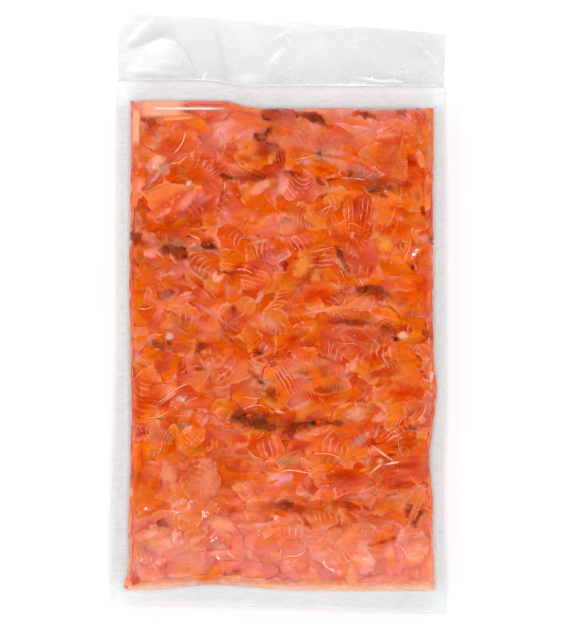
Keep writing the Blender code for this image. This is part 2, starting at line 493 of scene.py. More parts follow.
def core_flesh():
    """Pressed flesh seen in the crevices between the pieces, darker as painted crevice shade, paler along the
    walls as painted light, and paler towards the lower end as painted glare.
    """
    made, n = new_material("core_flesh")
    place = n.place()
    # Painted shade: a darker copy of the juice colour, so the gaps read as shaded crevices.
    shade = n.mix(1.0, n.use(GROUPS["field"], Place=place)["Color"], (0.55, 0.34, 0.30), "MULTIPLY")
    clot = n.ramp(n.noise(place, 60.0, 4.0, 0.6), 0.50, 0.68)
    colour = n.mix(clot, shade, FLESH["maroon"])
    _, up, level = n.parts(place)
    # Painted light: paler on the walls, between their foot and their top.
    wall = n.times(n.ramp(level, 0.0150, 0.0120), n.ramp(level, 0.0010, 0.0030))
    colour = n.mix(wall, colour, FLESH["peach"])
    # Painted glare: paler towards the lower end.
    colour = n.mix(n.ramp(up, -0.090, -0.160, 0.0, 0.7), colour, FLESH["blush"])
    grained = n.use(GROUPS["grain"], Color=colour, Place=place, Depth=0.0)
    return shown_by(made, n, n.add("ShaderNodeBsdfPrincipled", {
        "Base Color": grained["Color"], "Roughness": 0.55, "Specular IOR Level": 0.0,
        "Normal": n.bump(grained["Relief"], 0.5, 0.001),
    }))


def fat_thread():
    """Pale, faintly pink fat and tendon."""
    made, n = new_material("fat_thread")
    patch = n.noise(n.place(), 260.0)
    colour = n.mix(n.ramp(patch, 0.35, 0.75, 0.0, 0.6), n.attribute("flesh", "Color"), FLESH["blush"])
    return shown_by(made, n, n.add("ShaderNodeBsdfPrincipled", {
        "Base Color": colour, "Roughness": 0.35, "Normal": n.bump(patch, 0.3, 0.0004),
    }))


def juice_shade_glare_smear():
    """Thin juice, skin or blood under the film, and smears that paint crease shade, glare and wet sheen. Dark
    ones, stains and painted shade alike, mostly darken what lies below, pale ones mostly cover it, and all
    fade out raggedly towards their edge."""
    made, n = new_material("juice_shade_glare_smear")
    white = (1.0, 1.0, 1.0)
    tone = n.attribute("flesh", "Color")
    rim, soft = n.attribute("rim"), n.attribute("soft")
    patch = n.noise(n.place(), 200.0, 3.0, 0.55, 0.7)
    # The flat patches, whose strength is over 1.5, keep a crisp edge.
    ragged = n.plus(rim, n.waver(patch, n.ramp(soft, 1.45, 1.55, 1.5, 0.15)))
    cover = n.times(n.ramp(ragged, 1.05, 0.15), soft)
    cover = n.times(cover, n.ramp(rim, 1.0, 0.72), clamp=True)
    drawn = n.vector("MULTIPLY", n.attribute("grain", "Vector"), (160.0, 800.0, 400.0))
    streak = n.noise(drawn, 1.0, 3.0, 0.6)
    colour = n.mix(n.ramp(streak, 0.45, 0.70, 0.0, 0.30), tone, FLESH["blush"])
    colour = n.tinted(n.ramp(streak, 0.45, 0.25, 0.0, 0.3), colour, (0.62, 0.45, 0.40))
    bright = n.add("ShaderNodeSeparateColor", {0: tone}, mode="HSV").outputs[2]
    stain_and_shade = n.mix(n.ramp(bright, 0.25, 0.60, 0.55, 0.0), white, tone)
    stain_and_shade = n.mix(1.0, stain_and_shade, (0.97, 0.90, 0.85), "MULTIPLY")
    tint = n.add("ShaderNodeBsdfTransparent", {"Color": n.mix(cover, white, stain_and_shade)})
    shader = n.add("ShaderNodeBsdfPrincipled", {
        "Base Color": colour, "Roughness": 0.5, "Specular IOR Level": 0.0,
    })
    body = n.ramp(bright, 0.25, 0.60, 0.42, 0.9)
    return shown_by(made, n, n.shader_mix(n.times(cover, body), tint, shader))


def clear_film():
    """Thin clear film: what lies behind shows through, the lights glance off it, and its folds and
    welds are a little grey or milk-white. The milk is partly the film's own cloudiness and partly painted
    glare and light; the grey is painted shade, also beside the block."""
    made, n = new_material("clear_film")
    place = n.place()
    shade, haze_and_painted_light, dull = n.attribute("shade"), n.attribute("haze_and_painted_light"), n.attribute("dull")
    fine = n.noise(n.vector("MULTIPLY", place, (1.0, 0.45, 1.0)), 210.0, 3.0, 0.55, 1.2)
    height = n.plus(fine, n.times(n.noise(place, 55.0), 2.0))
    height = n.times(height, n.ramp(dull, 0.0, 0.8, 1.0, 0.15))
    bump = n.bump(height, 0.10, 0.0005)
    streak = n.noise(n.vector("MULTIPLY", place, (0.5, 1.6, 1.0)), 330.0, 3.0, 0.6)
    cloudy_and_painted_light = n.times(haze_and_painted_light, n.ramp(streak, 0.30, 0.62, 0.88, 1.0), clamp=True)
    grey = n.times(shade, n.ramp(streak, 0.35, 0.65, 0.85, 1.10))
    clear = n.add("ShaderNodeBsdfTransparent", {
        "Color": n.mix(grey, (0.99, 0.99, 0.99), (0.845, 0.868, 0.870)),
    })
    # The milk is whiter from the neck up, as painted light against the block's shadow there, and cooler at
    # the block's foot, against the red light bounced from the flesh.
    neck = n.ramp(n.parts(place)[1], 0.121, 0.127)
    white = n.mix(neck, (0.905, 0.935, 0.940), (0.985, 0.990, 0.990))
    white = n.mix(n.attribute("cool"), white, (0.78, 0.93, 0.95))
    milk = n.add("ShaderNodeBsdfPrincipled", {
        "Base Color": white, "Roughness": 0.4, "Specular IOR Level": 0.1,
    })
    milk = n.shader_mix(0.5, milk, n.add("ShaderNodeBsdfTranslucent", {"Color": white}))
    roughness = n.ramp(dull, 0.0, 1.0, 0.11, 0.55)
    gloss = n.add("ShaderNodeBsdfAnisotropic", {"Roughness": roughness, "Normal": bump})
    # Both faces of so thin a film mirror alike, so the share comes from the slant alone.
    slant = n.add("ShaderNodeLayerWeight", {"Blend": 0.5, "Normal": bump}).outputs["Facing"]
    share = n.ramp(n.math("POWER", slant, 5.0), 0.0, 1.0, 0.045, 0.5, smooth=False)
    body = n.shader_mix(cloudy_and_painted_light, clear, milk)
    return shown_by(made, n, n.shader_mix(share, body, gloss))


MATERIALS = {"flesh": salmon_flesh(), "core": core_flesh(), "thread": fat_thread(),
             "juice": juice_shade_glare_smear(), "film": clear_film()}


# Meshes ----------------------------------------------------------------------


def piece_object(name, mesh, material):
    made = bpy.data.objects.new(name, mesh)
    bpy.context.scene.collection.objects.link(made)
    mesh.materials.clear()
    mesh.materials.append(material)
    mesh.shade_smooth()
    return made


def mesh_from(bm, name):
    mesh = bpy.data.meshes.new(name)
    bm.to_mesh(mesh)
    bm.free()
    return mesh


def ripple(x, y, z=0.0, scale=1.0):
    """Smooth noise between -1 and 1."""
    return noise.noise(Vector((x, y, z)) * scale)


def grid_sheet(bm, points):
    """Faces over a grid of points, rows upwards, facing +Z where the rows run right to left."""
    rows, columns = points.shape[:2]
    verts = [[bm.verts.new(points[row, column]) for column in range(columns)] for row in range(rows)]
    for row in range(rows - 1):
        for column in range(columns - 1):
            bm.faces.new((*verts[row][column:column + 2], *verts[row + 1][column:column + 2][::-1]))
    return verts


def closed_from_sheets(name, upper, lower, merge=False):
    """One closed surface of two sheets that meet, or are bridged, along their rims."""
    bm = bmesh.new()
    grid_sheet(bm, upper)
    under = grid_sheet(bm, lower)
    below = {face for row in under for vert in row for face in vert.link_faces}
    bmesh.ops.reverse_faces(bm, faces=list(below))
    rim = [edge for edge in bm.edges if edge.is_boundary]
    if merge:
        bmesh.ops.remove_doubles(bm, verts=list({v for e in rim for v in e.verts}), dist=0.01 * MM)
    else:
        bmesh.ops.bridge_loops(bm, edges=rim)
    return mesh_from(bm, name)


def block_stations(low, high, wall_steps, steps):
    """Places from edge to edge of the block, close together where its walls are steep."""
    rise = [WALL_RUN * (1.0 - math.cos(0.5 * math.pi * step / wall_steps)) for step in range(wall_steps + 1)]
    first = [low + value for value in rise]
    last = [high - value for value in reversed(rise)]
    return first + list(np.linspace(first[-1], last[0], steps + 1)[1:-1]) + last


def nearest_height(x, y, side):
    found = solid_height(x, y, side)
    if found is None:
        found = SOLID.find_nearest(Vector((x, y, MIDDLE_Z)))[0].z
    return found


def block_form_sheets(inset, sink, lumps):
    """Upper and lower sheet of the contents' outer form, meeting along the seam."""

    def across(y):
        return block_stations(BLOCK.left(y) + inset, BLOCK.right(y) - inset, FORM_WALL_STEPS, FORM_STEPS[0])

    def upwards(x):
        return block_stations(BLOCK.bottom(x) + inset, BLOCK.top(x) - inset, FORM_WALL_STEPS, FORM_STEPS[1])

    columns, rows = len(across(0.0)), len(upwards(0.0))
    sheets = {side: np.zeros((rows, columns, 3)) for side in (1, -1)}
    for row, guess in enumerate(np.linspace(BLOCK_BOTTOM, BLOCK_TOP, rows)):
        for column, x in enumerate(across(guess)):
            y = upwards(x)[row]
            x = across(y)[column]
            heights = {side: nearest_height(x, y, side) - side * sink for side in (1, -1)}
            on_rim = row in (0, rows - 1) or column in (0, columns - 1)
            if on_rim or heights[1] < heights[-1]:
                heights[1] = heights[-1] = 0.5 * (heights[1] + heights[-1])
            lift = lumps * ripple(x, y, scale=70.0)
            for side in (1, -1):
                z = heights[side] + (0.0 if on_rim else side * min(lift, 0.0))
                sheets[side][row, column] = (x, y, z)
    return sheets[1], sheets[-1]


def block_form(name, inset, sink, lumps):
    upper, lower = block_form_sheets(inset, sink, lumps)
    return closed_from_sheets(name, upper, lower, merge=True)


# Shapes of the pieces, each about 1 from its middle to its tips --------------


def ringed_shape(name, reach, rings, turns, drop_power, closed=True):
    """A flat chip: rings out to its edge, its rim turned down; closed below unless it is a thin skin."""
    bm = bmesh.new()
    local = bm.verts.layers.float_vector.new("local")
    rim = bm.verts.layers.float.new("rim")

    def vert(share, turn, z):
        x, y = reach(turn)
        made = bm.verts.new((x * share, y * share, z))
        made[local] = Vector((x * share, y * share, 0.0))
        made[rim] = share
        return made

    top = vert(0.0, 0.0, 0.0)
    around = [2.0 * math.pi * step / turns for step in range(turns)]
    loops = [[vert(share, turn, -(share**drop_power)) for turn in around] for share in rings]
    if closed:
        loops.append([vert(0.96, turn, -1.5) for turn in around])
        base = vert(0.0, 0.0, -1.6)
    for step in range(turns):
        after = (step + 1) % turns
        bm.faces.new((top, loops[0][step], loops[0][after]))
        for inner, outer in zip(loops, loops[1:]):
            bm.faces.new((inner[step], outer[step], outer[after], inner[after]))
        if closed:
            bm.faces.new((base, loops[-1][after], loops[-1][step]))
    return mesh_from(bm, name)


def trimmed_reach(rng, squareness, wobble):
    """Reach of a trimmed piece's edge by direction: a squarish oval with an uneven edge."""
    waves = [(k, rng.uniform(0.3, 1.0) * wobble / k, rng.uniform(0.0, 6.28)) for k in (2, 3, 4, 5, 7)]

    def reach(turn):
        c, s = math.cos(turn), math.sin(turn)
        oval = (abs(c) ** squareness + abs(s) ** squareness) ** (-1.0 / squareness)
        uneven = 1.0 + sum(size * math.cos(k * turn + phase) for k, size, phase in waves)
        return oval * uneven * c, oval * uneven * s

    return reach


def closed_tube(bm, loops, name):
    """Rings of points joined into a tube with flat ends."""
    for first, second in zip(loops, loops[1:]):
        for here in range(len(first)):
            after = (here + 1) % len(first)
            bm.faces.new((first[here], first[after], second[after], second[here]))
    bm.faces.new(loops[0][::-1])
    bm.faces.new(loops[-1])
    bmesh.ops.recalc_face_normals(bm, faces=bm.faces)
    return mesh_from(bm, name)


def arc_tube(name, bend, curl, radius):
    """A thread: a round tube along an arc that may curl at one end."""
    steps, sides = 12, 6
    bm = bmesh.new()
    local = bm.verts.layers.float_vector.new("local")
    rim = bm.verts.layers.float.new("rim")
    loops = []
    for step in range(steps + 1):
        t = -1.0 + 2.0 * step / steps
        angle = bend * t + curl * t * t * t
        centre = Vector((t, 0.5 * bend * t * t + 0.3 * curl * t**3, 0.0))
        side = Vector((-math.sin(angle), math.cos(angle), 0.0))
        thin = radius * math.sqrt(max(1.0 - abs(t) ** 3, 0.03))
        loop = []
        for turn in range(sides):
            a = 2.0 * math.pi * turn / sides
            out = side * (thin * math.cos(a))
            made = bm.verts.new(centre + out + Vector((0, 0, thin * math.sin(a) - thin)))
            made[local] = Vector((t, 0.0, 0.0))
            made[rim] = abs(t)
            loop.append(made)
        loops.append(loop)
    return closed_tube(bm, loops, name)


FLAKE_SHAPES = 10
SMEAR_SHAPES = 5  # the square one comes after these


def shape_set(name, meshes):
    """A collection that holds one object for each shape, to be picked by number."""
    made = bpy.data.collections.new(name)
    for number, mesh in enumerate(meshes):
        made.objects.link(bpy.data.objects.new(f"{name}_{number:02d}", mesh))
    return made


def flake_shapes(rng):
    rings = (0.34, 0.62, 0.82, 0.94, 1.0)
    reaches = [trimmed_reach(rng, rng.uniform(2.0, 3.4), 0.42) for _ in range(FLAKE_SHAPES)]
    return shape_set("flakes", [ringed_shape(f"flake_{number}", reach, rings, 26, 5.0)
                                for number, reach in enumerate(reaches)])


def smear_shapes(rng):
    rings = (0.3, 0.6, 0.85, 1.0)
    shapes = [ringed_shape(f"smear_{number}", trimmed_reach(rng, 2.0, 0.35), rings, 20, 3.0, closed=False)
              for number in range(SMEAR_SHAPES)]
    square = trimmed_reach(rng, 9.0, 0.03)
    return shape_set("smears", [*shapes, ringed_shape("smear_square", square, rings, 36, 3.0, closed=False)])


THREAD_BENDS = ((0.15, 0.0), (0.4, 0.0), (0.6, 0.3), (0.2, 0.5), (-0.3, 0.4))  # bend and curl


def thread_shapes():
    return shape_set("threads", [arc_tube(f"thread_{number}", *bends, 0.032)
                                 for number, bends in enumerate(THREAD_BENDS)])


# Laying the pieces -----------------------------------------------------------


def pressing_tree():
    """Sets a shape on every point, bends it over the block and presses it under the skin."""
    tree = bpy.data.node_groups.new("Press Pieces", "GeometryNodeTree")
    labels = {"Geometry": "Geometry", "Form": "Object", "Shapes": "Collection", "Shoulder": "Vector",
              "Middle": "Vector", "Material": "Material"}
    for label, kind in labels.items():
        tree.interface.new_socket(label, in_out="INPUT", socket_type="NodeSocket" + kind)
    tree.interface.new_socket("Geometry", in_out="OUTPUT", socket_type="NodeSocketGeometry")
    given = tree.nodes.new("NodeGroupInput").outputs
    n = Nodes(tree)

    def named(name, kind="FLOAT"):
        node = n.add("GeometryNodeInputNamedAttribute", {"Name": name}, data_type=kind)
        return socket(node.outputs, "Attribute")

    def stored(geometry, name, value, kind="FLOAT"):
        return n.add("GeometryNodeStoreNamedAttribute", {"Geometry": geometry, "Name": name, "Value": value},
                     data_type=kind, domain="POINT").outputs[0]

    shapes = n.add("GeometryNodeCollectionInfo", {
        "Collection": given["Shapes"], "Separate Children": True, "Reset Children": True,
    }).outputs[0]
    size, local = named("size", "FLOAT_VECTOR"), named("local", "FLOAT_VECTOR")
    laid = n.add("GeometryNodeInstanceOnPoints", {
        "Points": given["Geometry"], "Instance": shapes, "Pick Instance": True,
        "Instance Index": named("shape", "INT"), "Rotation": named("turn", "FLOAT_VECTOR"), "Scale": size,
    }).outputs[0]
    real = n.add("GeometryNodeRealizeInstances", {"Geometry": laid}).outputs[0]
    grain = n.add("ShaderNodeVectorRotate", {
        "Vector": n.vector("MULTIPLY", local, size), "Angle": named("grain_turn"),
    }, rotation_type="Z_AXIS").outputs[0]
    grain = n.vector("ADD", grain, named("grain_start", "FLOAT_VECTOR"))
    real = stored(real, "grain", grain, "FLOAT_VECTOR")

    # Beyond the shoulder a piece turns down the wall: the further out, the lower it aims.
    here = n.add("GeometryNodeInputPosition").outputs[0]
    x, y, z = n.parts(here)
    offset = n.vector("ABSOLUTE", n.vector("SUBTRACT", here, given["Middle"]))
    over = n.vector("MAXIMUM", n.vector("SUBTRACT", offset, given["Shoulder"]), (0.0, 0.0, 0.0))
    over_x, over_y, _ = n.parts(over)
    level = n.less(n.parts(given["Shoulder"])[2], n.plus(over_x, over_y))
    level = n.plus(n.parts(given["Middle"])[2], n.times(level, named("side")))
    aim = n.add("ShaderNodeCombineXYZ", {0: x, 1: y, 2: level}).outputs[0]
    form = n.add("GeometryNodeObjectInfo", {"Object": given["Form"]}, transform_space="ORIGINAL")
    form = socket(form.outputs, "Geometry")
    near = n.add("GeometryNodeProximity", {0: form, "Sample Position": aim}, target_element="FACES")
    normal = n.add("GeometryNodeSampleNearestSurface", {
        "Mesh": form, "Value": n.add("GeometryNodeInputNormal").outputs[0], "Sample Position": aim,
    }, data_type="FLOAT_VECTOR")
    sunk = n.less(named("lies"), n.math("MINIMUM", z, 0.0))
    real = stored(real, "depth", sunk)
    drop = n.scaled(socket(normal.outputs, "Value"), n.times(sunk, -1.0))
    put = n.add("GeometryNodeSetPosition", {
        "Geometry": real, "Position": n.vector("ADD", socket(near.outputs, "Position"), drop),
    }).outputs[0]
    done = n.add("GeometryNodeSetMaterial", {"Geometry": put, "Material": given["Material"]}).outputs[0]
    n.feed(tree.nodes.new("NodeGroupOutput").inputs[0], done)
    return tree


PRESSING = pressing_tree()


def point_cloud(name, rows):
    """A mesh of single points that carries each piece's place and make-up as attributes."""
    mesh = bpy.data.meshes.new(name)
    mesh.from_pydata([row["place"] for row in rows], [], [])
    kinds = {("FLOAT_VECTOR", "vector"): ("turn", "size", "sheet", "grain_start"),
             ("FLOAT_COLOR", "color"): ("flesh", "flesh_far"),
             ("FLOAT", "value"): ("grain_turn", "lies", "side", "soft"), ("INT", "value"): ("shape",)}
    for (kind, field), labels in kinds.items():
        for label in labels:
            values = np.array([row[label] for row in rows], int if kind == "INT" else float)
            mesh.attributes.new(label, kind, "POINT").data.foreach_set(field, values.ravel())
    return mesh


def keep_inside(mesh, gap=0.2 * MM):
    """Draws in whatever stands out past the block's outline, deeper pieces further in."""
    depth = np.empty(len(mesh.vertices), np.float32)
    mesh.attributes["depth"].data.foreach_get("value", depth)
    flat = np.empty(len(mesh.vertices) * 3, np.float32)
    mesh.vertices.foreach_get("co", flat)
    points = flat.reshape(-1, 3)
    x, y = points[:, 0].copy(), points[:, 1].copy()
    ragged = [max(ripple(*place, scale=260.0), 0.0) * MM for place in zip(x, y)]
    gap = gap + np.array(ragged) + 0.5 * np.clip(depth, 0.0, 3.0 * MM)
    points[:, 0] = np.clip(x, BLOCK.left(y) + gap, BLOCK.right(y) - gap)
    points[:, 1] = np.clip(y, BLOCK.bottom(x) + gap, BLOCK.top(x) - gap)
    mesh.vertices.foreach_set("co", points.ravel())


def press(name, rows, shapes, form, material):
    """Lays the rows of pieces with the pressing tree and returns them as one plain mesh object."""
    cloud = bpy.data.objects.new(name + "_points", point_cloud(name + "_points", rows))
    bpy.context.scene.collection.objects.link(cloud)
    modifier = cloud.modifiers.new("press", "NODES")
    modifier.node_group = PRESSING
    half_x = 0.5 * (BLOCK_RIGHT - BLOCK_LEFT) - WALL_RUN
    half_y = 0.5 * (BLOCK_TOP - BLOCK_BOTTOM) - WALL_RUN
    given = {
        "Form": form, "Shapes": shapes, "Material": material,
        "Shoulder": (half_x, half_y, 0.5 * HEIGHT),
        "Middle": (0.5 * (BLOCK_LEFT + BLOCK_RIGHT), 0.5 * (BLOCK_BOTTOM + BLOCK_TOP), MIDDLE_Z),
    }
    for item in PRESSING.interface.items_tree:
        if item.in_out == "INPUT" and item.name in given:
            modifier[item.identifier] = given[item.name]
    graph = bpy.context.evaluated_depsgraph_get()
    mesh = bpy.data.meshes.new_from_object(cloud.evaluated_get(graph), preserve_all_data_layers=True,
                                           depsgraph=graph)
    cloud.modifiers.remove(modifier)
    bpy.data.objects.remove(cloud)
    mesh.name = name
    keep_inside(mesh)
    return piece_object(name, mesh, material)


# kind of grain: (spacing of the sheets, bend, strength, quarter turns of the grain)
GRAINS = {
    "plain": (4.5, 20.0, 0.0, 0.0),
    "sheets": (3.4, 40.0, 0.65, 0.0),
    "arcs": (3.2, 90.0, 0.75, 0.0),
    "stripes": (2.6, 6.0, 0.90, 1.0),
    "fine": (2.0, 12.0, 0.35, 0.0),
}


def piece_row(rng, x, y, long, wide, turn, flesh, far, grain, lies, side=1.0, soft=0.9, shape=None,
              drop=None):
    """One piece: place and sizes in millimetres, turn in degrees, colours by name. It lies that far
    below the skin, its edge drops further, and its rim melts into the juices as soft says."""
    spacing, bend, strength, quarter = GRAINS[grain]
    bend *= rng.choice((-1.0, 1.0)) * rng.uniform(0.7, 1.3)
    tint = rng.uniform(0.93, 1.06)
    colours = [tuple(min(c * tint, 0.95) for c in FLESH[name]) + (1.0,) for name in (flesh, far)]
    edge = 0.85 + 0.012 * long if drop is None else drop
    return {
        "place": (x * MM, y * MM, 0.0),
        "turn": tuple(map(math.radians, (rng.uniform(-1.6, 1.6), rng.uniform(-1.3, 1.3), turn))),
        "size": (0.5 * long * MM, 0.5 * wide * MM, edge * MM),
        "flesh": colours[0], "flesh_far": colours[1],
        "sheet": (spacing * rng.uniform(0.85, 1.2) * MM, bend, strength),
        "grain_start": (rng.uniform(-9, 9), rng.uniform(-0.004, 0.004), rng.uniform(-9, 9)),
        "grain_turn": 0.5 * math.pi * quarter,
        "lies": lies * MM, "side": side, "soft": soft,
        "shape": rng.randrange(FLAKE_SHAPES) if shape is None else shape,
    }


# Pieces listed one by one: x, y, length, width, turn, colour, colour at the far end, grain unless plain.
LAID = (
    (-34, 123, 46, 8, 0, "coral", "orange"), (-54, 111, 36, 12, -10, "coral", "orange"),
    (-63, 101, 36, 15, 10, "deep", "orange"), (-19, 109, 50, 24, 10, "blush", "coral"),
    (-9, 97, 28, 18, 20, "mauve", "coral", "fine"), (-70, 88, 20, 8, 50, "beige", "mauve"),
    (-77, 75, 18, 6, 50, "mauve", "umber"), (-84, 80, 34, 12, 75, "orange", "amber"),
    (-40, 88, 40, 22, 0, "deep", "orange", "arcs"), (-64, 63, 32, 24, 30, "coral", "orange"),
    (-47, 65, 32, 18, 40, "deep", "orange", "sheets"), (-19, 91, 24, 7, -15, "amber", "deep"),
    (-14, 59, 42, 30, 15, "orange", "coral"), (-17, 40, 52, 16, -15, "peach", "coral", "arcs"),
    (-65, 42, 27, 11, -10, "beige", "mauve", "fine"), (-50, 38, 10, 8, 20, "beige", "mauve"),
    (17, 117, 28, 10, -20, "mauve", "maroon"), (43, 109, 54, 28, -20, "coral", "blush"),
    (35, 95, 30, 11, -12, "blush", "blush"), (14, 102, 28, 22, 60, "blush", "coral", "arcs"),
    (64, 103, 40, 30, 0, "orange", "coral"), (90, 106, 28, 10, 85, "peach", "amber"),
    (53, 91, 15, 10, -60, "amber", "orange"), (8, 91, 14, 10, 40, "amber", "ochre"),
    (25, 85, 22, 8, -25, "amber", "orange"), (14, 75, 26, 26, 80, "coral", "deep", "arcs"),
    (27, 62, 22, 16, 5, "deep", "orange", "arcs"), (42, 57, 24, 10, 88, "amber", "coral", "stripes"),
    (51, 59, 24, 12, 85, "deep", "deep", "stripes"), (71, 62, 28, 17, -10, "orange", "amber"),
    (75, 55, 10, 5, 40, "lilac", "blush"), (64, 44, 14, 12, 30, "peach", "amber"),
    (61, 38, 20, 11, 0, "amber", "amber"), (79, 40, 20, 9, 80, "rose", "coral"),
    (82, 71, 14, 9, 80, "rose", "coral"), (90, 80, 42, 11, 88, "orange", "orange"),
    (-66, 24, 36, 12, 25, "coral", "rose"), (-47, 16, 34, 10, -40, "amber", "deep", "stripes"),
    (-67, 11, 13, 7, -25, "lilac", "blush"), (-54, 9, 14, 6, 15, "blush", "coral"),
    (-80, 2, 26, 20, 0, "orange", "coral"), (-49, -4, 36, 17, 5, "coral", "coral", "sheets"),
    (-69, -31, 26, 19, 30, "rose", "coral"), (-21, 24, 36, 17, -15, "orange", "deep", "stripes"),
    (-30, 15, 24, 19, 60, "deep", "coral"), (1, 6, 28, 12, 60, "orange", "amber", "arcs"),
    (-34, -34, 42, 27, -60, "peach", "coral", "sheets"), (-8, -42, 12, 9, 10, "beige", "lilac"),
    (-49, -47, 28, 27, 20, "coral", "orange"), (-65, -46, 18, 7, 25, "cream", "peach"),
    (-59, -52, 16, 6, 40, "peach", "cream"), (-82, -54, 38, 19, 80, "orange", "coral", "sheets"),
    (10, 24, 18, 13, 10, "amber", "amber"), (25, 30, 28, 25, 5, "coral", "deep", "stripes"),
    (40, 28, 28, 7, -62, "umber", "beige"), (53, 26, 22, 10, -5, "orange", "deep", "sheets"),
    (54, 18, 22, 10, -10, "amber", "deep"), (42, 15, 9, 7, 20, "rose", "mauve"),
    (74, 15, 24, 19, 10, "coral", "orange"), (88, 18, 36, 13, 85, "orange", "deep"),
    (25, 3, 32, 6, -8, "peach", "blush"), (20, 10, 32, 13, 20, "orange", "deep"),
    (51, 6, 20, 8, 5, "blush", "peach"), (61, 0, 20, 8, -25, "amber", "orange"),
    (79, -16, 18, 7, 5, "beige", "coral"), (51, -14, 48, 16, -20, "coral", "coral"),
    (12, -13, 28, 11, 25, "coral", "peach", "fine"), (19, -25, 22, 13, -10, "orange", "amber", "fine"),
    (40, -27, 38, 25, -25, "deep", "orange", "sheets"),
    (62, -24, 42, 23, 10, "orange", "coral", "sheets"),
    (4, -39, 26, 15, -60, "coral", "lilac", "stripes"), (32, -45, 24, 9, 5, "mauve", "beige", "fine"),
    (91, -36, 14, 5, 75, "cream", "peach"), (72, -47, 48, 27, 8, "orange", "coral"),
    (-15, -64, 36, 20, 5, "mauve", "ember", "fine"), (-23, -75, 26, 9, -5, "amber", "orange"),
    (-8, -82, 24, 15, 20, "coral", "orange", "sheets"),
    (-70, -73, 26, 13, -25, "lilac", "coral", "fine"),
    (-52, -76, 24, 13, 50, "coral", "orange", "fine"), (-43, -64, 13, 6, 65, "lilac", "blush"),
    (-46, -98, 44, 25, 78, "blush", "peach", "sheets"), (-82, -84, 32, 13, 85, "orange", "orange"),
    (-85, -104, 26, 10, 85, "orange", "coral"), (-65, -91, 26, 19, 10, "coral", "orange"),
    (-69, -124, 11, 8, 50, "mauve", "umber"), (-60, -114, 12, 6, 40, "cream", "peach"),
    (-62, -133, 11, 6, 80, "cream", "peach"), (-26, -91, 16, 11, 20, "ember", "deep"),
    (-30, -112, 28, 9, -10, "deep", "orange"), (-21, -106, 22, 11, -40, "peach", "blush", "fine"),
    (1, -120, 18, 7, -25, "amber", "orange"), (-11, -127, 13, 5, 0, "beige", "cream"),
    (-8, -135, 26, 15, 20, "blush", "coral"), (-30, -131, 16, 6, 80, "coral", "peach"),
    (22, -61, 28, 9, 12, "mauve", "coral"), (44, -63, 32, 15, 30, "peach", "coral", "fine"),
    (48, -74, 18, 11, 25, "lilac", "blush", "sheets"),
    (33, -77, 32, 19, -20, "orange", "deep", "sheets"), (7, -88, 22, 9, 30, "beige", "coral"),
    (81, -69, 14, 5, -10, "lilac", "beige"), (68, -73, 22, 11, 30, "amber", "ochre", "stripes"),
    (73, -92, 48, 12, 8, "coral", "coral"), (75, -102, 28, 10, 10, "ember", "deep"),
    (40, -98, 46, 17, 5, "deep", "orange"), (30, -101, 18, 9, 0, "amber", "orange"),
    (42, -115, 42, 11, 0, "ember", "deep"), (26, -122, 26, 12, 0, "blush", "coral", "sheets"),
    (13, -116, 16, 7, -15, "rose", "blush"), (81, -121, 30, 15, 70, "ochre", "amber", "stripes"),
    (62, -120, 42, 23, 10, "coral", "orange"), (44, -132, 30, 13, 20, "blush", "lilac"),
    (44, -148, 36, 19, 10, "blush", "peach", "sheets"), (10, -146, 22, 17, 30, "peach", "blush"),
    (89, -154, 28, 10, 80, "orange", "orange"),
)


def laid_pieces(rng):
    rows = []
    for x, y, long, wide, turn, flesh, far, *grain in LAID:
        lies = 0.05 + 0.006 * min(long, 50) + 0.13 * rng.random()
        rows.append(piece_row(rng, x, y, long, wide, turn, flesh, far, *(grain or ["plain"]), lies))
    return rows


def zone_colours(rng, x, y):
    """Colours for a piece that fills in: drifts of deep orange and of pink, and paler near both ends as
    painted glare.
    """
    drift = ripple(x / 30.0, y / 24.0, 12.0) + rng.gauss(0.0, 0.22)
    if drift > 0.12:
        names = ["coral", "blush", "rose", "coral", "peach", "lilac"]
    elif drift > -0.14:
        names = ["orange", "coral", "deep", "orange", "peach", "rose"]
    else:
        names = ["deep", "amber", "orange", "ember", "amber", "ochre"]
    # Painted glare: pieces near both ends are more often pale.
    lower = min(max((-90.0 - y) / 60.0, 0.0), 0.8)
    upper = min(max((y - 95.0) / 30.0, 0.0), 0.45)
    if rng.random() < max(lower, upper):
        names = ["blush", "blush", "coral", "peach", "peach", "orange"]
    elif abs(x - 1.5) > 82.0 and rng.random() < 0.6:
        names = ["orange", "amber", "coral", "peach"]
    return rng.choice(names), rng.choice(names)


def random_place(rng, inset=0.0):
    """A place on the block's face in millimetres, at least the inset (in metres) from its edges."""
    return (rng.uniform(BLOCK_LEFT + inset, BLOCK_RIGHT - inset) / MM,
            rng.uniform(BLOCK_BOTTOM + inset, BLOCK_TOP - inset) / MM)


def drift_turn(x, y, wave, layer, swing):
    """The slow swing of the pieces' lie over the face, in degrees."""
    return swing * ripple(x / wave, y / wave, layer)


def filling_pieces(rng, side, step, longest, high=0.55, low=1.45):
    """Pieces on a jittered grid that fill the face and hang over its edges."""
    rows = []
    overlap = 9.0
    grains = ("plain",) * 4 + ("sheets", "arcs", "fine")
    ys = np.arange(BLOCK_BOTTOM / MM - overlap, BLOCK_TOP / MM + overlap, step)
    xs = np.arange(BLOCK_LEFT / MM - overlap, BLOCK_RIGHT / MM + overlap, step)
    for row, y in enumerate(ys):
        for x in xs:
            px = x + 0.5 * step * (row % 2) + rng.uniform(-0.35, 0.35) * step
            py = y + rng.uniform(-0.35, 0.35) * step
            turn = drift_turn(px, py, 60.0, 3.0 * side, 100.0) + rng.gauss(0.0, 26.0)
            long = longest * rng.uniform(0.55, 1.1)
            wide = long * rng.uniform(0.26, 0.58)
            flesh, far = zone_colours(rng, px, py)
            rows.append(piece_row(rng, px, py, long, wide, turn, flesh, far, rng.choice(grains),
                                  rng.uniform(high, low), side, soft=1.0, drop=0.7))
    return rows


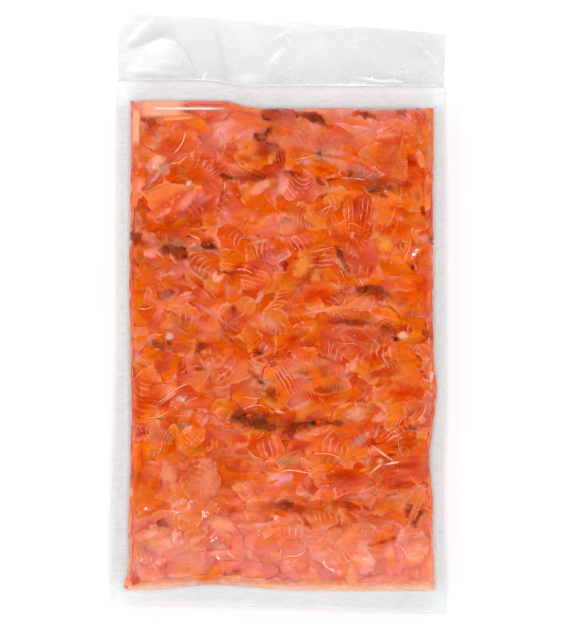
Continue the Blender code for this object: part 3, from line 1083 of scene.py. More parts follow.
def strip_pieces(rng, count):
    """Narrow slivers scattered over the face, lying high among the larger pieces."""
    rows = []
    for _ in range(count):
        x, y = random_place(rng)
        long, wide = rng.uniform(16.0, 44.0), rng.uniform(3.2, 9.0)
        flesh, far = zone_colours(rng, x, y)
        grain = rng.choice(("plain", "fine", "sheets"))
        turn = drift_turn(x, y, 45.0, 8.0, 110.0) + rng.gauss(0.0, 35.0)
        rows.append(piece_row(rng, x, y, long, wide, turn, flesh, far, grain, rng.uniform(0.30, 0.80),
                              soft=rng.uniform(0.75, 1.0), drop=0.5))
    return rows


def smear_row(rng, x, y, long, wide, turn, flesh, strength, lies=-0.02, shape=None):
    """One smear: like a piece, but flat under the film, and as strong as said."""
    shape = rng.randrange(SMEAR_SHAPES) if shape is None else shape
    row = piece_row(rng, x, y, long, wide, turn, flesh, flesh, "plain", lies, soft=strength, shape=shape,
                    drop=0.03)
    row["turn"] = (0.0, 0.0, math.radians(turn))
    return row


def veil_pieces(rng, count):
    """Translucent skins and smears of juice that lie on the pieces, right under the film."""
    rows = []
    for _ in range(count):
        x, y = random_place(rng)
        long = rng.uniform(8.0, 30.0)
        wide = long * rng.uniform(0.22, 0.55)
        flesh, _ = zone_colours(rng, x, y)
        flesh = rng.choice((flesh, flesh, "blush", "peach", "orange", "amber"))
        turn = drift_turn(x, y, 45.0, 5.0, 110.0) + rng.gauss(0.0, 30.0)
        rows.append(smear_row(rng, x, y, long, wide, turn, flesh, rng.uniform(0.25, 0.70),
                              rng.uniform(-0.01, 0.04)))
    return rows


# Dark clots and brown meat, and smears that paint the shade in creases and crevices, the long faint maroon
# ones first: x, y, length, width, turn, colour, strength.
CLOTS_AND_CREVICE_SHADE = (
    (-14, 82, 66, 6, 0, "maroon", 0.35), (66, 76, 30, 7, -30, "maroon", 0.3),
    (-64, 40, 54, 9, -8, "maroon", 0.35), (56, 10, 58, 7, -8, "maroon", 0.3),
    (8, -67, 66, 9, 2, "maroon", 0.38), (-66, -20, 32, 7, -10, "maroon", 0.35),
    (6, -117, 58, 7, -6, "maroon", 0.35), (70, -92, 42, 5, 5, "maroon", 0.25),
    (45, -6, 46, 5, -4, "maroon", 0.35), (34, 46, 30, 5, -70, "maroon", 0.25),
    (-75, 110, 11, 9, 60, "ochre", 0.6), (-77, 113, 10, 5, -20, "ember", 0.6),
    (2, 118, 30, 11, 5, "mauve", 0.7), (-10, 106, 13, 7, 30, "mauve", 0.55),
    (-4, 97, 14, 7, -20, "mauve", 0.55), (19, 117, 24, 6, -10, "umber", 0.7),
    (25, 113, 12, 4, -20, "umber", 0.8), (9, 83, 14, 3, -10, "maroon", 0.95),
    (-20, 80, 26, 3.2, 2, "maroon", 0.9), (-31, 81, 10, 3, -10, "umber", 0.7),
    (24, 78, 8, 3.5, -50, "maroon", 0.9), (53, 118, 14, 6, -20, "maroon", 0.85),
    (72, 121, 8, 4, 0, "maroon", 0.8), (83, 123, 5, 3, 0, "maroon", 0.7),
    (45, 82, 10, 6, 20, "mauve", 0.8), (58, 73, 16, 7, -10, "umber", 0.9),
    (55, 72, 4, 3, 0, "black", 0.9), (76, 76, 6, 4, 30, "maroon", 0.8),
    (-86, 44, 8, 9, 60, "umber", 0.85), (-62, 37, 14, 9, -25, "umber", 0.75),
    (-58, 33, 12, 4, -25, "maroon", 0.85), (-42, 41, 9, 8, -40, "umber", 0.95),
    (-39, 39, 4, 4, 0, "black", 0.9), (-56, 33, 9, 2, 0, "black", 0.8),
    (-32, 24, 10, 2.6, -10, "maroon", 0.85), (38, 31, 20, 3.4, -62, "umber", 0.9),
    (57, 13, 18, 6, -8, "umber", 0.85), (50, 14, 7, 4, 20, "maroon", 0.8),
    (92, 44, 4, 8, 0, "mauve", 0.7), (-72, -19, 8, 5, -30, "umber", 0.85),
    (-65, -18, 5, 4, 0, "maroon", 0.9), (-68, 10, 11, 6, 10, "mauve", 0.7),
    (-48, -22, 5, 8, -20, "maroon", 0.85), (-12, -24, 7, 3, -20, "black", 0.9),
    (-5, -48, 7, 7, 40, "maroon", 0.9), (-16, -63, 26, 12, 8, "umber", 0.75),
    (-20, -64, 10, 7, 20, "maroon", 0.8), (-8, -68, 10, 6, -20, "umber", 0.8),
    (8, -72, 8, 5, 60, "maroon", 0.9), (20, -66, 26, 3.4, 4, "black", 0.85),
    (12, -68, 18, 4.5, 18, "maroon", 0.95), (35, -66, 12, 3.2, -6, "umber", 0.8),
    (45, -6, 30, 2.6, -2, "maroon", 0.8), (66, -10, 11, 7, -25, "umber", 0.85),
    (70, -16, 6, 3, -20, "black", 0.95), (88, -12, 4, 6, 20, "umber", 0.8),
    (80, -69, 8, 4, -15, "umber", 0.6), (3, -114, 12, 5, -12, "umber", 0.95),
    (14, -122, 16, 3, -50, "ember", 0.9), (-69, -125, 7, 6, 0, "mauve", 0.8),
    (-86, -158, 9, 7, 60, "rose", 0.7), (-26, -154, 6, 3, 0, "umber", 0.6),
    (82, -123, 3, 14, -25, "umber", 0.7), (77, -119, 3, 12, -20, "umber", 0.6),
    (40, -114, 28, 3, -4, "ember", 0.7), (75, -103, 22, 2.4, 8, "ember", 0.7),
    (-14, -38, 12, 3, -40, "umber", 0.7), (30, -28, 16, 2.4, -20, "ember", 0.7),
    (-30, -118, 18, 3, 5, "ember", 0.7), (62, -136, 18, 2.4, 20, "ember", 0.6),
)

# Pale soft patches of fat and membrane, some of them painted glare, and long faint veils that are partly
# membrane and partly painted wet sheen: x, y, length, width, turn, colour, strength.
PALE_PATCHES_AND_GLARE = (
    (-68, 86, 15, 8, 35, "beige", 0.85), (-72, 82, 22, 4, 50, "crease", 0.45),
    (-54, 77, 6, 5, 30, "cream", 0.6), (-34, 103, 4, 16, 0, "cream", 0.4),
    (32, 95, 22, 8, -8, "blush", 0.85), (16, 90, 12, 6, -10, "lilac", 0.75),
    (12, 115, 7, 5, 20, "beige", 0.8), (-60, 41, 16, 7, -10, "beige", 0.8),
    (-47, 38, 7, 6, 0, "beige", 0.8), (-12, 42, 18, 4, 10, "peach", 0.6),
    (14, 27, 20, 12, 25, "yolk", 0.75), (22, 22, 9, 12, 0, "glow", 0.7),
    (72, 56, 7, 5, 20, "blush", 0.8), (63, 41, 18, 12, 60, "yolk", 0.85),
    (58, 46, 10, 6, 20, "glow", 0.7), (39, 28, 18, 3, -62, "beige", 0.75),
    (-66, 10, 11, 6, 10, "lilac", 0.6), (-54, 9, 10, 5, 0, "blush", 0.8),
    (-76, -18, 6, 5, 0, "beige", 0.8), (-65, -14, 6, 7, 40, "crease", 0.6),
    (-5, -6, 9, 14, 20, "blush", 0.7), (25, 1, 28, 4, 8, "peach", 0.7),
    (74, -14, 9, 7, -10, "cream", 0.7), (51, 5, 15, 6, 10, "blush", 0.8),
    (-57, -52, 4, 3, 30, "cream", 0.9), (-44, -64, 7, 5, 50, "lilac", 0.7),
    (-65, -50, 16, 3, 35, "peach", 0.8), (-8, -42, 9, 7, 0, "beige", 0.6),
    (0, -59, 11, 3, -15, "cream", 0.8), (48, -76, 14, 8, 20, "lilac", 0.5),
    (46, -60, 24, 13, 25, "peach", 0.85), (40, -55, 14, 5, 20, "glow", 0.8),
    (80, -70, 8, 3, -10, "beige", 0.8), (4, -87, 20, 6, 22, "beige", 0.85),
    (-8, -93, 13, 6, 5, "mauve", 0.6), (-44, -102, 24, 32, -12, "blush", 0.7),
    (62, -84, 17, 2.8, -36, "fat", 1.1), (67, -89.5, 10, 2.2, 8, "cream", 1.0),
    (58, -92.5, 13, 2.6, 38, "fat", 1.0), (60, -88, 7, 4, 20, "peach", 0.9),
    (-45, -7, 54, 8, -34, "blush", 0.45), (-38, -2, 40, 3.5, -34, "lilac", 0.5),
    (14, 100, 54, 12, -12, "blush", 0.5), (30, 91, 34, 6, -14, "peach", 0.5),
    (-52, 62, 46, 9, 28, "rose", 0.35), (28, -28, 44, 8, 16, "peach", 0.35),
    (-30, -72, 38, 7, -10, "rose", 0.35), (48, -100, 50, 8, 6, "rose", 0.35),
    (-4, -106, 60, 7, 4, "coral", 0.4), (58, 60, 30, 6, 60, "orange", 0.4),
    (-62, -134, 4, 9, -20, "cream", 0.8), (-10, -128, 11, 5, 0, "beige", 0.7),
)

# Flat, square-cornered patches of fat against the film, and the air slot across them, whose pale strip also
# paints the glint along the film's crease there.
FLAT_PATCHES = (
    (-70.0, 120.6, 36, 11.0, 0, "fat"), (-85.6, 111.0, 7.4, 31, 0, "fat"),
    (-43, 124.4, 32, 3.4, 0, "coral"), (-60, 115.2, 24, 2.6, 4, "glow"),
    (-56.0, 121.2, 57, 2.0, 0, "crease"),
)

# Pale threads of fat, tendon and membrane edge: x, y, length, turn, half width factor.
THREADS = (
    (-66, 88, 14, 20, 1.4), (16, 92, 13, 10, 1.3), (73, 101, 8, 78, 1.0), (83, 97, 7, 62, 1.0),
    (44, 80, 14, -5, 1.2), (53, 81, 7, 30, 1.3), (77, 37, 15, 70, 1.1), (-80, 2, 11, 0, 1.1),
    (-63, -47, 22, 38, 1.3), (60, -82, 9, -38, 1.5), (86, -60, 12, 60, 1.0), (-14, -86, 10, -20, 1.1),
    (29, -84, 17, -10, 1.2), (44, -146, 16, 30, 1.2), (10, -145, 12, 10, 1.0), (10, -94, 17, -10, 1.0),
    (28, 62, 9, 30, 1.0), (-15, -55, 14, 10, 1.2), (3, 58, 9, -30, 1.0), (39, 6, 6, 60, 1.0),
    (-72, -62, 14, 15, 1.1), (-58, 100, 15, 60, 0.9), (24, 37, 12, 20, 0.9),
)


def edge_slivers(rng):
    """Slivers of pale fat and flesh pressed into the film along the bottom edge and up both sides; their
    paleness is partly painted light on the walls.
    """
    rows = []
    bands = {1.3: ("cream", "fat", "peach"), 3.2: ("fat", "yolk", "glow"), 5.6: ("peach", "glow", "yolk")}
    for x in np.arange(BLOCK_LEFT / MM + 3.0, BLOCK_RIGHT / MM, 3.2):
        y = BLOCK.bottom(x * MM) / MM
        for rise, names in bands.items():
            flesh, far = rng.choice(names), rng.choice(names)
            rows.append(piece_row(rng, x + rng.uniform(-2, 2), y + rise + rng.uniform(-0.6, 0.6),
                                  rng.uniform(6, 13), rng.uniform(2.0, 3.8), rng.uniform(-9, 9), flesh, far,
                                  "plain", rng.uniform(0.0, 0.10) + 0.02 * rise, soft=0.25, drop=0.4))
    for y in np.arange(BLOCK_BOTTOM / MM + 6.0, BLOCK_TOP / MM - 2.0, 6.0):
        for edge, inward in ((BLOCK.right, -1.0), (BLOCK.left, 1.0)):
            x = edge(y * MM) / MM + inward * rng.uniform(0.8, 2.0)
            flesh = rng.choice(("orange", "glow", "peach", "blush", "coral", "amber"))
            rows.append(piece_row(rng, x, y + rng.uniform(-3, 3), rng.uniform(6, 15), rng.uniform(1.6, 3.4),
                                  90 + rng.uniform(-7, 7), flesh, "coral", "plain", rng.uniform(0.02, 0.2),
                                  soft=0.5, drop=0.5))
    return rows + [piece_row(rng, 90.2, y, 15.0, 8.6, 88, "peach", "glow", "plain", 0.02, soft=0.3, drop=0.35)
                   for y in (119.0, 110.0, 101.0, 93.0)]


def marked_smears(rng):
    """The listed smears, each strong one with a few smaller ones strewn round it."""
    rows = [smear_row(rng, *patch[:6], 0.85 * patch[6], lies=0.0) for patch in PALE_PATCHES_AND_GLARE]
    rows += [smear_row(rng, *patch, 1.6, lies=0.02 - 0.012 * layer, shape=SMEAR_SHAPES)
             for layer, patch in enumerate(FLAT_PATCHES)]
    for x, y, long, wide, turn, flesh, strength in CLOTS_AND_CREVICE_SHADE:
        rows.append(smear_row(rng, x, y, long, 1.1 * wide, turn, flesh, 0.9 * strength))
        for _ in range(4 if strength > 0.5 else 0):
            along, across = rng.uniform(-0.48, 0.48) * long, rng.uniform(-0.40, 0.40) * wide
            cos, sin = math.cos(math.radians(turn)), math.sin(math.radians(turn))
            size = rng.uniform(0.30, 0.62) * math.sqrt(long * wide)
            rows.append(smear_row(rng, x + cos * along - sin * across, y + sin * along + cos * across,
                                  1.5 * size, size, turn + rng.gauss(0.0, 35.0),
                                  rng.choice((flesh, flesh, "maroon", "ember")),
                                  rng.uniform(0.8, 1.2) * strength))
    return rows


def thread_row(rng, x, y, long, turn, girth, flesh):
    row = piece_row(rng, x, y, long, long, turn, flesh, flesh, "plain", 0.02, drop=1.0)
    row["size"] = (0.5 * long * MM, 0.5 * long * MM * rng.choice((-1.0, 1.0)), 5.0 * girth * MM)
    row["shape"] = rng.randrange(len(THREAD_BENDS))
    return row


def thread_pieces(rng, count):
    """The listed threads, then short ones anywhere on the face."""
    rows = [thread_row(rng, x, y, long, turn, 0.52 * girth, rng.choice(("cream", "peach")))
            for x, y, long, turn, girth in THREADS]
    for _ in range(count):
        rows.append(thread_row(rng, *random_place(rng, 2.0 * MM), rng.uniform(3.0, 11.0),
                               rng.uniform(0.0, 180.0), rng.uniform(0.35, 0.8),
                               rng.choice(("cream", "peach", "peach", "blush"))))
    return rows


# Film ------------------------------------------------------------------------

WELD_Y = 135.5 * MM
WELD_STEP, WELD_STEP_X, WELD_STEP_RUN = 3.5 * MM, -32.0 * MM, 30.0 * MM
MARGIN_STEPS = 9
FILM_WALL_STEPS = 8
FILM_STEPS = (108, 178)  # between the walls, across and upwards
NECK_STEPS = 16
HEADER_STEPS = (236, 58)
MOST_HAZE_AND_LIGHT = 0.85
FILM_MARKS = ("haze_and_painted_light", "shade", "dull", "cool")

# Marks in the header and along the welds, in millimetres: ends of the stroke, its half width, and
# its lift, its milk, which paints highlights and glare, and its grey, which paints dark lines and shade.
STROKES = (
    (-87, 152.5, -64, 155, 6.0, 0.6, 0.46, -0.3), (-76, 158, -65, 160.5, 4.4, 0.5, 0.4, -0.2),
    (-88, 149.5, -62, 149.5, 2.6, 0.2, 0.34, -0.2), (-86, 147, -60, 144, 1.6, 0.1, 0.25, 0.0),
    (-65, 166.5, -56, 158, 0.8, -0.1, 0.0, 0.7), (-56, 158, -51.5, 148, 0.8, -0.1, 0.0, 0.8),
    (-51.5, 148, -51, 139.5, 0.8, -0.1, 0.0, 0.75), (-88, 142.5, -72, 143, 0.7, 0.0, 0.0, 0.65),
    (-72, 143, -60, 140, 0.7, 0.0, 0.0, 0.6), (-91, 163, -77, 178, 2.4, 0.3, 0.38, -0.1),
    (-88.5, 160, -87.5, 160.5, 1.6, 0.0, 0.0, 0.65), (-85, 161, -66, 170, 3.6, -0.2, -0.1, 0.3),
    (-39, 171, -34, 154, 1.5, 0.2, 0.0, 0.42), (-34, 154, -30.5, 138, 2.0, 0.2, 0.0, 0.5),
    (-30, 171, -27, 146, 1.6, 0.1, 0.12, 0.0), (-46, 140, -43.5, 145, 0.7, 0.1, 0.6, 0.0),
    (-27, 139.5, -10, 141, 2.8, 0.3, 0.42, 0.0), (0, 140.5, 9, 140, 2.2, -0.1, 0.0, 0.35),
    (-7, 148.5, 3.5, 160, 1.1, 0.2, 0.42, 0.0), (-4, 165, 8, 171, 1.2, 0.1, 0.3, 0.0),
    (-3, 175, 12, 172, 2.4, 0.2, 0.3, 0.0), (14, 170, 40, 174, 1.6, 0.2, 0.26, 0.0),
    (-29, 178, 4, 173, 1.0, 0.1, 0.25, 0.0), (50, 143, 64, 139, 2.0, -0.2, 0.0, 0.42),
    (62, 142, 80, 138, 1.3, -0.2, 0.0, 0.55), (46, 141, 66, 138, 0.7, 0.1, 0.3, 0.0),
    (81, 163, 92, 149, 0.8, 0.1, 0.0, 0.45), (84, 164, 95, 151, 0.7, 0.2, 0.22, 0.0),
    (-57, 131, -22, 128, 3.0, 0.0, 0.0, 0.35), (8, 128, 34, 131, 2.2, 0.0, 0.25, 0.0),
    (48, 128, 84, 130, 2.4, 0.0, 0.0, 0.25), (-85, 133, -58, 132, 0.7, 0.0, 0.4, 0.0),
    (-76, 130.5, -52, 130, 0.5, 0.0, 0.35, 0.0),
)


def smooth_step(value):
    value = min(max(value, 0.0), 1.0)
    return value * value * (3.0 - 2.0 * value)


def weld_line(x):
    return WELD_Y + WELD_STEP * smooth_step((WELD_STEP_X - x) / WELD_STEP_RUN + 0.5)


def stroke_share(x, y, stroke):
    """How strongly a stroke marks a place given in millimetres: 1 on its line, fading to its ends."""
    x0, y0, x1, y1, width = stroke[:5]
    dx, dy = x1 - x0, y1 - y0
    along = ((x - x0) * dx + (y - y0) * dy) / (dx * dx + dy * dy)
    near = min(max(along, 0.0), 1.0)
    away = math.hypot(x - x0 - near * dx, y - y0 - near * dy) / width
    if away > 3.0:
        return 0.0
    return math.exp(-away * away) * (0.35 + 0.65 * math.sin(math.pi * (0.1 + 0.8 * near)))


def stroke_marks(px, py):
    """Lift, milk and grey that the strokes give a place in millimetres: painted highlights and painted shade.
    """
    marks = [0.0, 0.0, 0.0]
    for stroke in STROKES:
        share = stroke_share(px, py, stroke)
        for kind in range(3):
            marks[kind] += share * stroke[5 + kind]
    return marks


def header_marks(x, y):
    """Lift in metres, milk and grey of the header film at a place in metres: the milk paints glare, specks
    and light, the grey paints shade.
    """
    px, py = x / MM, y / MM
    lift, haze_and_painted_light, shade = stroke_marks(px, py)
    lift += 0.40 * ripple(px / 24.0, py / 18.0, 4.0) + 0.05 * ripple(px / 6.0, py / 8.0, 9.0)
    low = smooth_step((30.0 - (y - weld_line(x)) / MM) / 30.0)
    # Painted light: more milk low down near the weld, where the block shades the floor below.
    haze_and_painted_light += 0.14 + 0.14 * low + 0.05 * ripple(px / 11.0, py / 14.0, 1.0)
    shade += 0.10 + 0.10 * ripple(px / 14.0, py / 11.0, 2.0) + 0.16 * smooth_step((px - 20.0) / 60.0)
    # Painted glints: white specks, as small blisters in the film would show.
    speck_glint = max(ripple(px / 1.9, py / 1.9, 3.0) - 0.52, 0.0)
    haze_and_painted_light += 2.2 * speck_glint * smooth_step((px + 12.0) / 12.0)
    return lift * MM, min(max(haze_and_painted_light, 0.0), MOST_HAZE_AND_LIGHT), min(max(shade, 0.0), 1.0)


def margin_marks(x, y):
    """Lift, milk and grey of the film round the block and in the neck below the weld. The milk is partly the
    welded film's own cloudiness and partly painted light; the grey is painted shade.
    """
    px, py = x / MM, y / MM
    lift, haze_and_painted_light, shade = stroke_marks(px, py) if y > BLOCK_TOP else (0.0, 0.0, 0.0)
    foot = smooth_step((BLOCK_BOTTOM / MM + 6.0 - py) / 6.0)
    calm = 1.0 - 0.5 * foot
    lift += 0.05 * calm * ripple(px / 4.5, py / 9.0, 2.0) + 0.03 * calm * ripple(px / 11.0, py / 3.0, 7.0)
    # Milk all over: partly the welded film's own cloudiness, partly painted light that evens out the shade
    # under it.
    haze_and_painted_light += 0.52 + 0.10 * foot + 0.05 * ripple(px / 12.0, py / 9.0, 5.0)
    # Painted shade: greyer beside the block, most on its right, and at the lower right end.
    beside_right = smooth_step((px - BLOCK_RIGHT / MM) / 2.0)
    beside_left = smooth_step((BLOCK_LEFT / MM - px) / 2.0)
    shade += 0.08 + 0.30 * beside_right + 0.15 * beside_left + 0.08 * ripple(px / 9.0, py / 20.0, 6.0)
    shade += 0.50 * foot * smooth_step((px - 20.0) / 70.0)
    # Painted light in the neck: more milk and less grey above the block.
    if y > BLOCK_TOP:
        haze_and_painted_light += 0.16 + 0.20 * max(ripple(px / 9.0, py / 0.8, 8.0) - 0.1, 0.0)
        shade -= 0.14
    return lift * MM, min(max(haze_and_painted_light, 0.0), MOST_HAZE_AND_LIGHT), min(max(shade, 0.0), 1.0)


def steps_between(first, last, count, start=0):
    return [first + (last - first) * step / count for step in range(start, start + count)]


def body_columns(y):
    left, right = BLOCK.left(y), BLOCK.right(y)
    return (steps_between(BAG.left(y), left, MARGIN_STEPS)
            + block_stations(left, right, FILM_WALL_STEPS, FILM_STEPS[0])
            + steps_between(right, BAG.right(y), MARGIN_STEPS, start=1))


def body_rows(x):
    bottom, top = BLOCK.bottom(x), BLOCK.top(x)
    return (steps_between(BAG.bottom(x), bottom, MARGIN_STEPS)
            + block_stations(bottom, top, FILM_WALL_STEPS, FILM_STEPS[1])
            + steps_between(top, weld_line(x), NECK_STEPS, start=1))


def grid_places(columns_at, rows_at):
    """x and y of every grid point: columns follow the sides, rows follow the ends."""
    count_x, count_y = len(columns_at(0.0)), len(rows_at(0.0))
    xs, ys = np.zeros((count_y, count_x)), np.zeros((count_y, count_x))
    guess = rows_at(0.0)
    for row in range(count_y):
        spread = columns_at(guess[row])
        for column in range(count_x):
            y = rows_at(spread[column])[row]
            xs[row, column] = columns_at(y)[column]
            ys[row, column] = y
    return xs, ys


def shifted_max(values, reach):
    """Largest value within reach grid steps each way."""
    for axis in (0, 1):
        padded = np.pad(values, [(reach, reach) if a == axis else (0, 0) for a in (0, 1)], mode="edge")
        windows = [np.take(padded, range(start, start + values.shape[axis]), axis=axis)
                   for start in range(2 * reach + 1)]
        values = np.max(windows, axis=0)
    return values


def smoothed(values, times):
    for _ in range(times):
        padded = np.pad(values, 1, mode="edge")
        values = 0.25 * (padded[:-2, 1:-1] + padded[2:, 1:-1] + padded[1:-1, :-2] + padded[1:-1, 2:])
    return values


def bag_heights(xs, ys, side):
    found = np.zeros(xs.shape)
    middle = Vector((0.0, -10.0 * MM))
    for index in np.ndindex(xs.shape):
        x, y = xs[index], ys[index]
        z = solid_height(x, y, side)
        if z is None:
            inward = (middle - Vector((x, y))).normalized() * (0.4 * MM)
            z = nearest_height(x + inward.x, y + inward.y, side)
        found[index] = z
    return found


def film_shell(name, xs, ys, upper, lower, marks):
    """A closed skin of film, upper web over lower web, with its marks at every point."""
    mesh = closed_from_sheets(name, *[np.stack([xs, ys, z], axis=-1) for z in (upper, lower)])
    flat_marks = marks.reshape(-1, len(FILM_MARKS))
    values = np.concatenate([flat_marks, 0.6 * flat_marks])
    for number, label in enumerate(FILM_MARKS):
        mesh.attributes.new(label, "FLOAT", "POINT").data.foreach_set("value", values[:, number])
    return piece_object(name, mesh, MATERIALS["film"])


def body_film(contents):
    """Film drawn tight over the contents, with the flat welded margin and the neck round them."""
    xs, ys = grid_places(body_columns, body_rows)
    bag_top = bag_heights(xs, ys, 1)
    bag_base = bag_heights(xs, ys, -1)
    trees = [tree_of(piece) for piece in contents]
    tops, row_in = np.full(xs.shape, -1.0), np.zeros(xs.shape)
    for index in np.ndindex(xs.shape):
        x, y = xs[index], ys[index]
        row_in[index] = min(y - BLOCK.bottom(x), BLOCK.top(x) - y, x - BLOCK.left(y), BLOCK.right(y) - x)
        for tree in trees:
            hit = tree.ray_cast(Vector((x, y, 2.0 * HEIGHT)), Vector((0.0, 0.0, -1.0)))
            if hit[0]:
                tops[index] = max(tops[index], hit[0].z)
    slack = 1.6 * MM * np.clip(row_in / (9.0 * MM), 0.0, 1.0) ** 1.5
    stretched = smoothed(-shifted_max(-shifted_max(tops, 2), 2), 3)
    tight = np.maximum(stretched, bag_top - slack)
    upper = np.maximum(smoothed(tight, 1), np.maximum(tops, smoothed(tops, 1))) + FILM_CLEARANCE
    upper = np.where(row_in > 0.0, upper, bag_top)
    # The film bridges the corner at the block's foot.
    bridged = np.maximum(upper, smoothed(upper, 2))
    upper = np.where(row_in > -3.0 * MM, bridged, upper)
    marks = np.zeros((*xs.shape, len(FILM_MARKS)))
    for index in np.ndindex(xs.shape):
        x, y, inward = xs[index], ys[index], row_in[index]
        lift, haze_and_painted_light, shade = margin_marks(x, y)
        out = smooth_step(-inward / (1.5 * MM))
        wall = smooth_step(1.0 - abs(inward - 3.0 * MM) / (4.0 * MM))
        crease = smooth_step(1.6 - abs(inward - 1.0 * MM) / (4.0 * MM))
        foot = out * math.exp(min(inward, 0.0) / (3.5 * MM))
        seam = smooth_step(1.0 - abs(inward + 0.3 * MM) / (1.4 * MM))
        upper[index] += lift * out + 0.35 * MM * wall * max(ripple(x, y, scale=210.0), -0.2)
        bag_base[index] += lift * out
        ends = smooth_step((abs(y + 0.022) - 0.080) / 0.050)
        cloud = max(ripple(x / 26.0, y / 15.0, 0.004, 1.0 / MM) - 0.12, 0.0)
        # Milk paints light at the block's foot and along the seam, over the shade there, and faint clouds of
        # glare over the block, more towards both ends.
        milk_and_painted_light = haze_and_painted_light * out + 0.45 * foot + (0.05 + 0.06 * ends) * cloud * (1.0 - out)
        marks[index] = (max(milk_and_painted_light, 0.72 * seam), shade * out, max(crease, 0.8 * out), foot)
    bag_base = np.minimum(bag_base, upper - 0.05 * MM)
    return film_shell("clear_film", xs, ys, upper, bag_base, marks)


def header_film():
    """The empty head of the pouch above the weld, lightly creased."""
    xs, ys = grid_places(lambda y: np.linspace(BAG.left(y), BAG.right(y), HEADER_STEPS[0]),
                         lambda x: np.linspace(weld_line(x), BAG.top(x), HEADER_STEPS[1]))
    upper = bag_heights(xs, ys, 1)
    lower = bag_heights(xs, ys, -1)
    marks = np.zeros((*xs.shape, len(FILM_MARKS)))
    for index in np.ndindex(xs.shape):
        lift, haze_and_painted_light, shade = header_marks(xs[index], ys[index])
        fade = smooth_step((ys[index] - weld_line(xs[index])) / (3.0 * MM))
        upper[index] += lift * fade
        lower[index] = max(lower[index] + min(lift, 0.4 * MM) * fade, 0.0)
        marks[index] = (haze_and_painted_light, shade, 0.25, 0.0)
    upper = np.maximum(upper, lower + 0.1 * MM)
    return film_shell("clear_header_film", xs, ys, upper, lower, marks)


def weld_bead():
    """The heat seal across the pouch: a fine ridge, milk-white below its crest, partly frosting and partly a
    painted glint, and grey above it as a painted dark line.
    """
    steps, sides = 150, 6
    half_width, height = 0.55 * MM, 0.16 * MM
    bm = bmesh.new()
    haze_and_painted_light, shade, dull, _ = [bm.verts.layers.float.new(label) for label in FILM_MARKS]
    loops = []
    for x in np.linspace(BAG.left(WELD_Y) + 0.6 * MM, BAG.right(WELD_Y) - 0.6 * MM, steps):
        y = weld_line(x) + 0.25 * MM * ripple(x * 90.0, 0.0)
        z = nearest_height(x, y, 1) + 0.25 * MM
        loop = []
        for turn in range(sides):
            a = 2.0 * math.pi * turn / sides
            made = bm.verts.new((x, y + half_width * math.cos(a), z + height * math.sin(a)))
            # Painted glint below the crest and painted dark line above it.
            above = math.cos(a) > 0.1
            made[haze_and_painted_light], made[shade], made[dull] = 0.0 if above else MOST_HAZE_AND_LIGHT, float(above), 0.6
            loop.append(made)
        loops.append(loop)
    return piece_object("weld_bead", closed_tube(bm, loops, "weld_bead"), MATERIALS["film"])


# Stage -----------------------------------------------------------------------


def area_light(name, place, size, power, aim=(0.0, -0.01, 0.0)):
    data = bpy.data.lights.new(name, "AREA")
    data.shape = "SQUARE"
    data.size = size
    data.energy = power
    made = bpy.data.objects.new(name, data)
    made.location = place
    made.rotation_euler = (Vector(aim) - Vector(place)).to_track_quat("-Z", "Y").to_euler()
    bpy.context.scene.collection.objects.link(made)


def studio():
    """A white room, bright low down and dark straight above, with four softboxes and six lamps."""
    scene = bpy.context.scene
    scene.view_settings.view_transform = "Standard"
    scene.view_settings.look = "None"
    scene.world = bpy.data.worlds.new("studio_world")
    scene.world.use_nodes = True
    n = Nodes(scene.world.node_tree)
    room = n.tree.nodes["Background"].inputs
    room["Color"].default_value = (1.0, 1.0, 1.0, 1.0)
    height = n.parts(n.add("ShaderNodeTexCoord").outputs["Generated"])[2]
    n.feed(room["Strength"], n.ramp(height, 0.0, 0.55, 1.0, 0.02))
    # Name, x, y, height, size and power.
    for name, x, y, z, size, power in (
        ("left_softbox", -1.45, 0.1, 0.95, 0.9, 14.3), ("right_softbox", 1.45, -0.1, 0.95, 0.9, 12.7),
        ("upper_softbox", 0.05, 1.5, 0.95, 0.9, 16.9), ("lower_softbox", -0.05, -1.5, 0.95, 0.9, 19.0),
        ("glare_box", -0.32, 0.40, 1.15, 0.30, 1.2), ("far_glare_box", 0.40, -0.28, 1.15, 0.20, 0.45),
        ("key_lamp", -0.42, 0.36, 1.15, 0.06, 0.26), ("second_lamp", 0.36, 0.40, 1.15, 0.06, 0.26),
        ("third_lamp", -0.10, -0.50, 1.15, 0.06, 0.26), ("fourth_lamp", 0.48, -0.24, 1.15, 0.06, 0.26),
    ):
        area_light(name, (x, y, z), size, power)


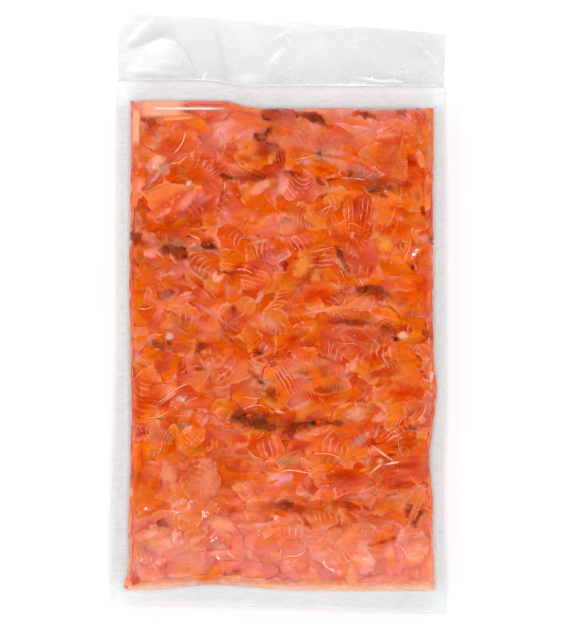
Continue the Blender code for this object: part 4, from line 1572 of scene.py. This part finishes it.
def white_floor():
    half, z = 1.35, LOW.z - 0.1 * MM
    mesh = bpy.data.meshes.new("pale_floor")
    mesh.from_pydata([(-half, -half, z), (half, -half, z), (half, half, z), (-half, half, z)],
                     [], [(0, 1, 2, 3)])
    made, n = new_material("pale_floor")
    shader = n.add("ShaderNodeBsdfPrincipled", {
        "Base Color": (0.87, 0.87, 0.87, 1.0), "Roughness": 0.8, "Specular IOR Level": 0.1,
    })
    floor = piece_object("pale_floor", mesh, shown_by(made, n, shader))


def camera():
    """Straight above the pack; the field is sized at the pouch's seam."""
    field, seam = 378.0 * MM, 8.5 * MM
    data = bpy.data.cameras.new("camera")
    data.lens = 100.0
    data.sensor_width = 36.0
    made = bpy.data.objects.new("camera", data)
    made.location = (3.6 * MM, -1.5 * MM, seam + field * data.lens / data.sensor_width)
    bpy.context.scene.collection.objects.link(made)
    bpy.context.scene.camera = made


# The pack --------------------------------------------------------------------


def finish_piece(piece):
    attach(piece, "root")
    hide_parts(POUCH)


def main():
    rng = random.Random(SEED)
    form, core = [piece_object(name, block_form(name, *measures), MATERIALS["core"]) for name, measures in (
        ("block_form", (FORM_INSET, SKIN_GAP, 0.0)), ("pressed_core", (CORE_INSET, CORE_DEPTH, CORE_LUMPS)),
    )]
    contents = [core]
    flakes = flake_shapes(rng)

    def pressed(name, rows, shapes=flakes, material="flesh"):
        return press(name, rows, shapes, form, MATERIALS[material])

    upper = laid_pieces(rng) + filling_pieces(rng, side=1.0, step=15.5, longest=41.0)
    upper += filling_pieces(rng, side=1.0, step=19.0, longest=52.0, high=1.5, low=1.9)
    contents.append(pressed("salmon_pieces", upper))
    contents.append(pressed("salmon_slivers", strip_pieces(rng, 60) + edge_slivers(rng)))
    contents.append(pressed("salmon_pieces_under", filling_pieces(rng, side=-1.0, step=21.0, longest=44.0)))
    smears, threads = smear_shapes(rng), thread_shapes()
    thin = [pressed("juice_smears", veil_pieces(rng, 60) + marked_smears(rng), smears, "juice"),
            pressed("fat_threads", thread_pieces(rng, 80), threads, "thread")]
    for piece in contents + thin:
        finish_piece(piece)
    for film in (body_film(contents), header_film(), weld_bead()):
        finish_piece(film)
    for helper in (form, *flakes.objects, *smears.objects, *threads.objects):
        bpy.data.objects.remove(helper)


main()
white_floor()
studio()
camera()
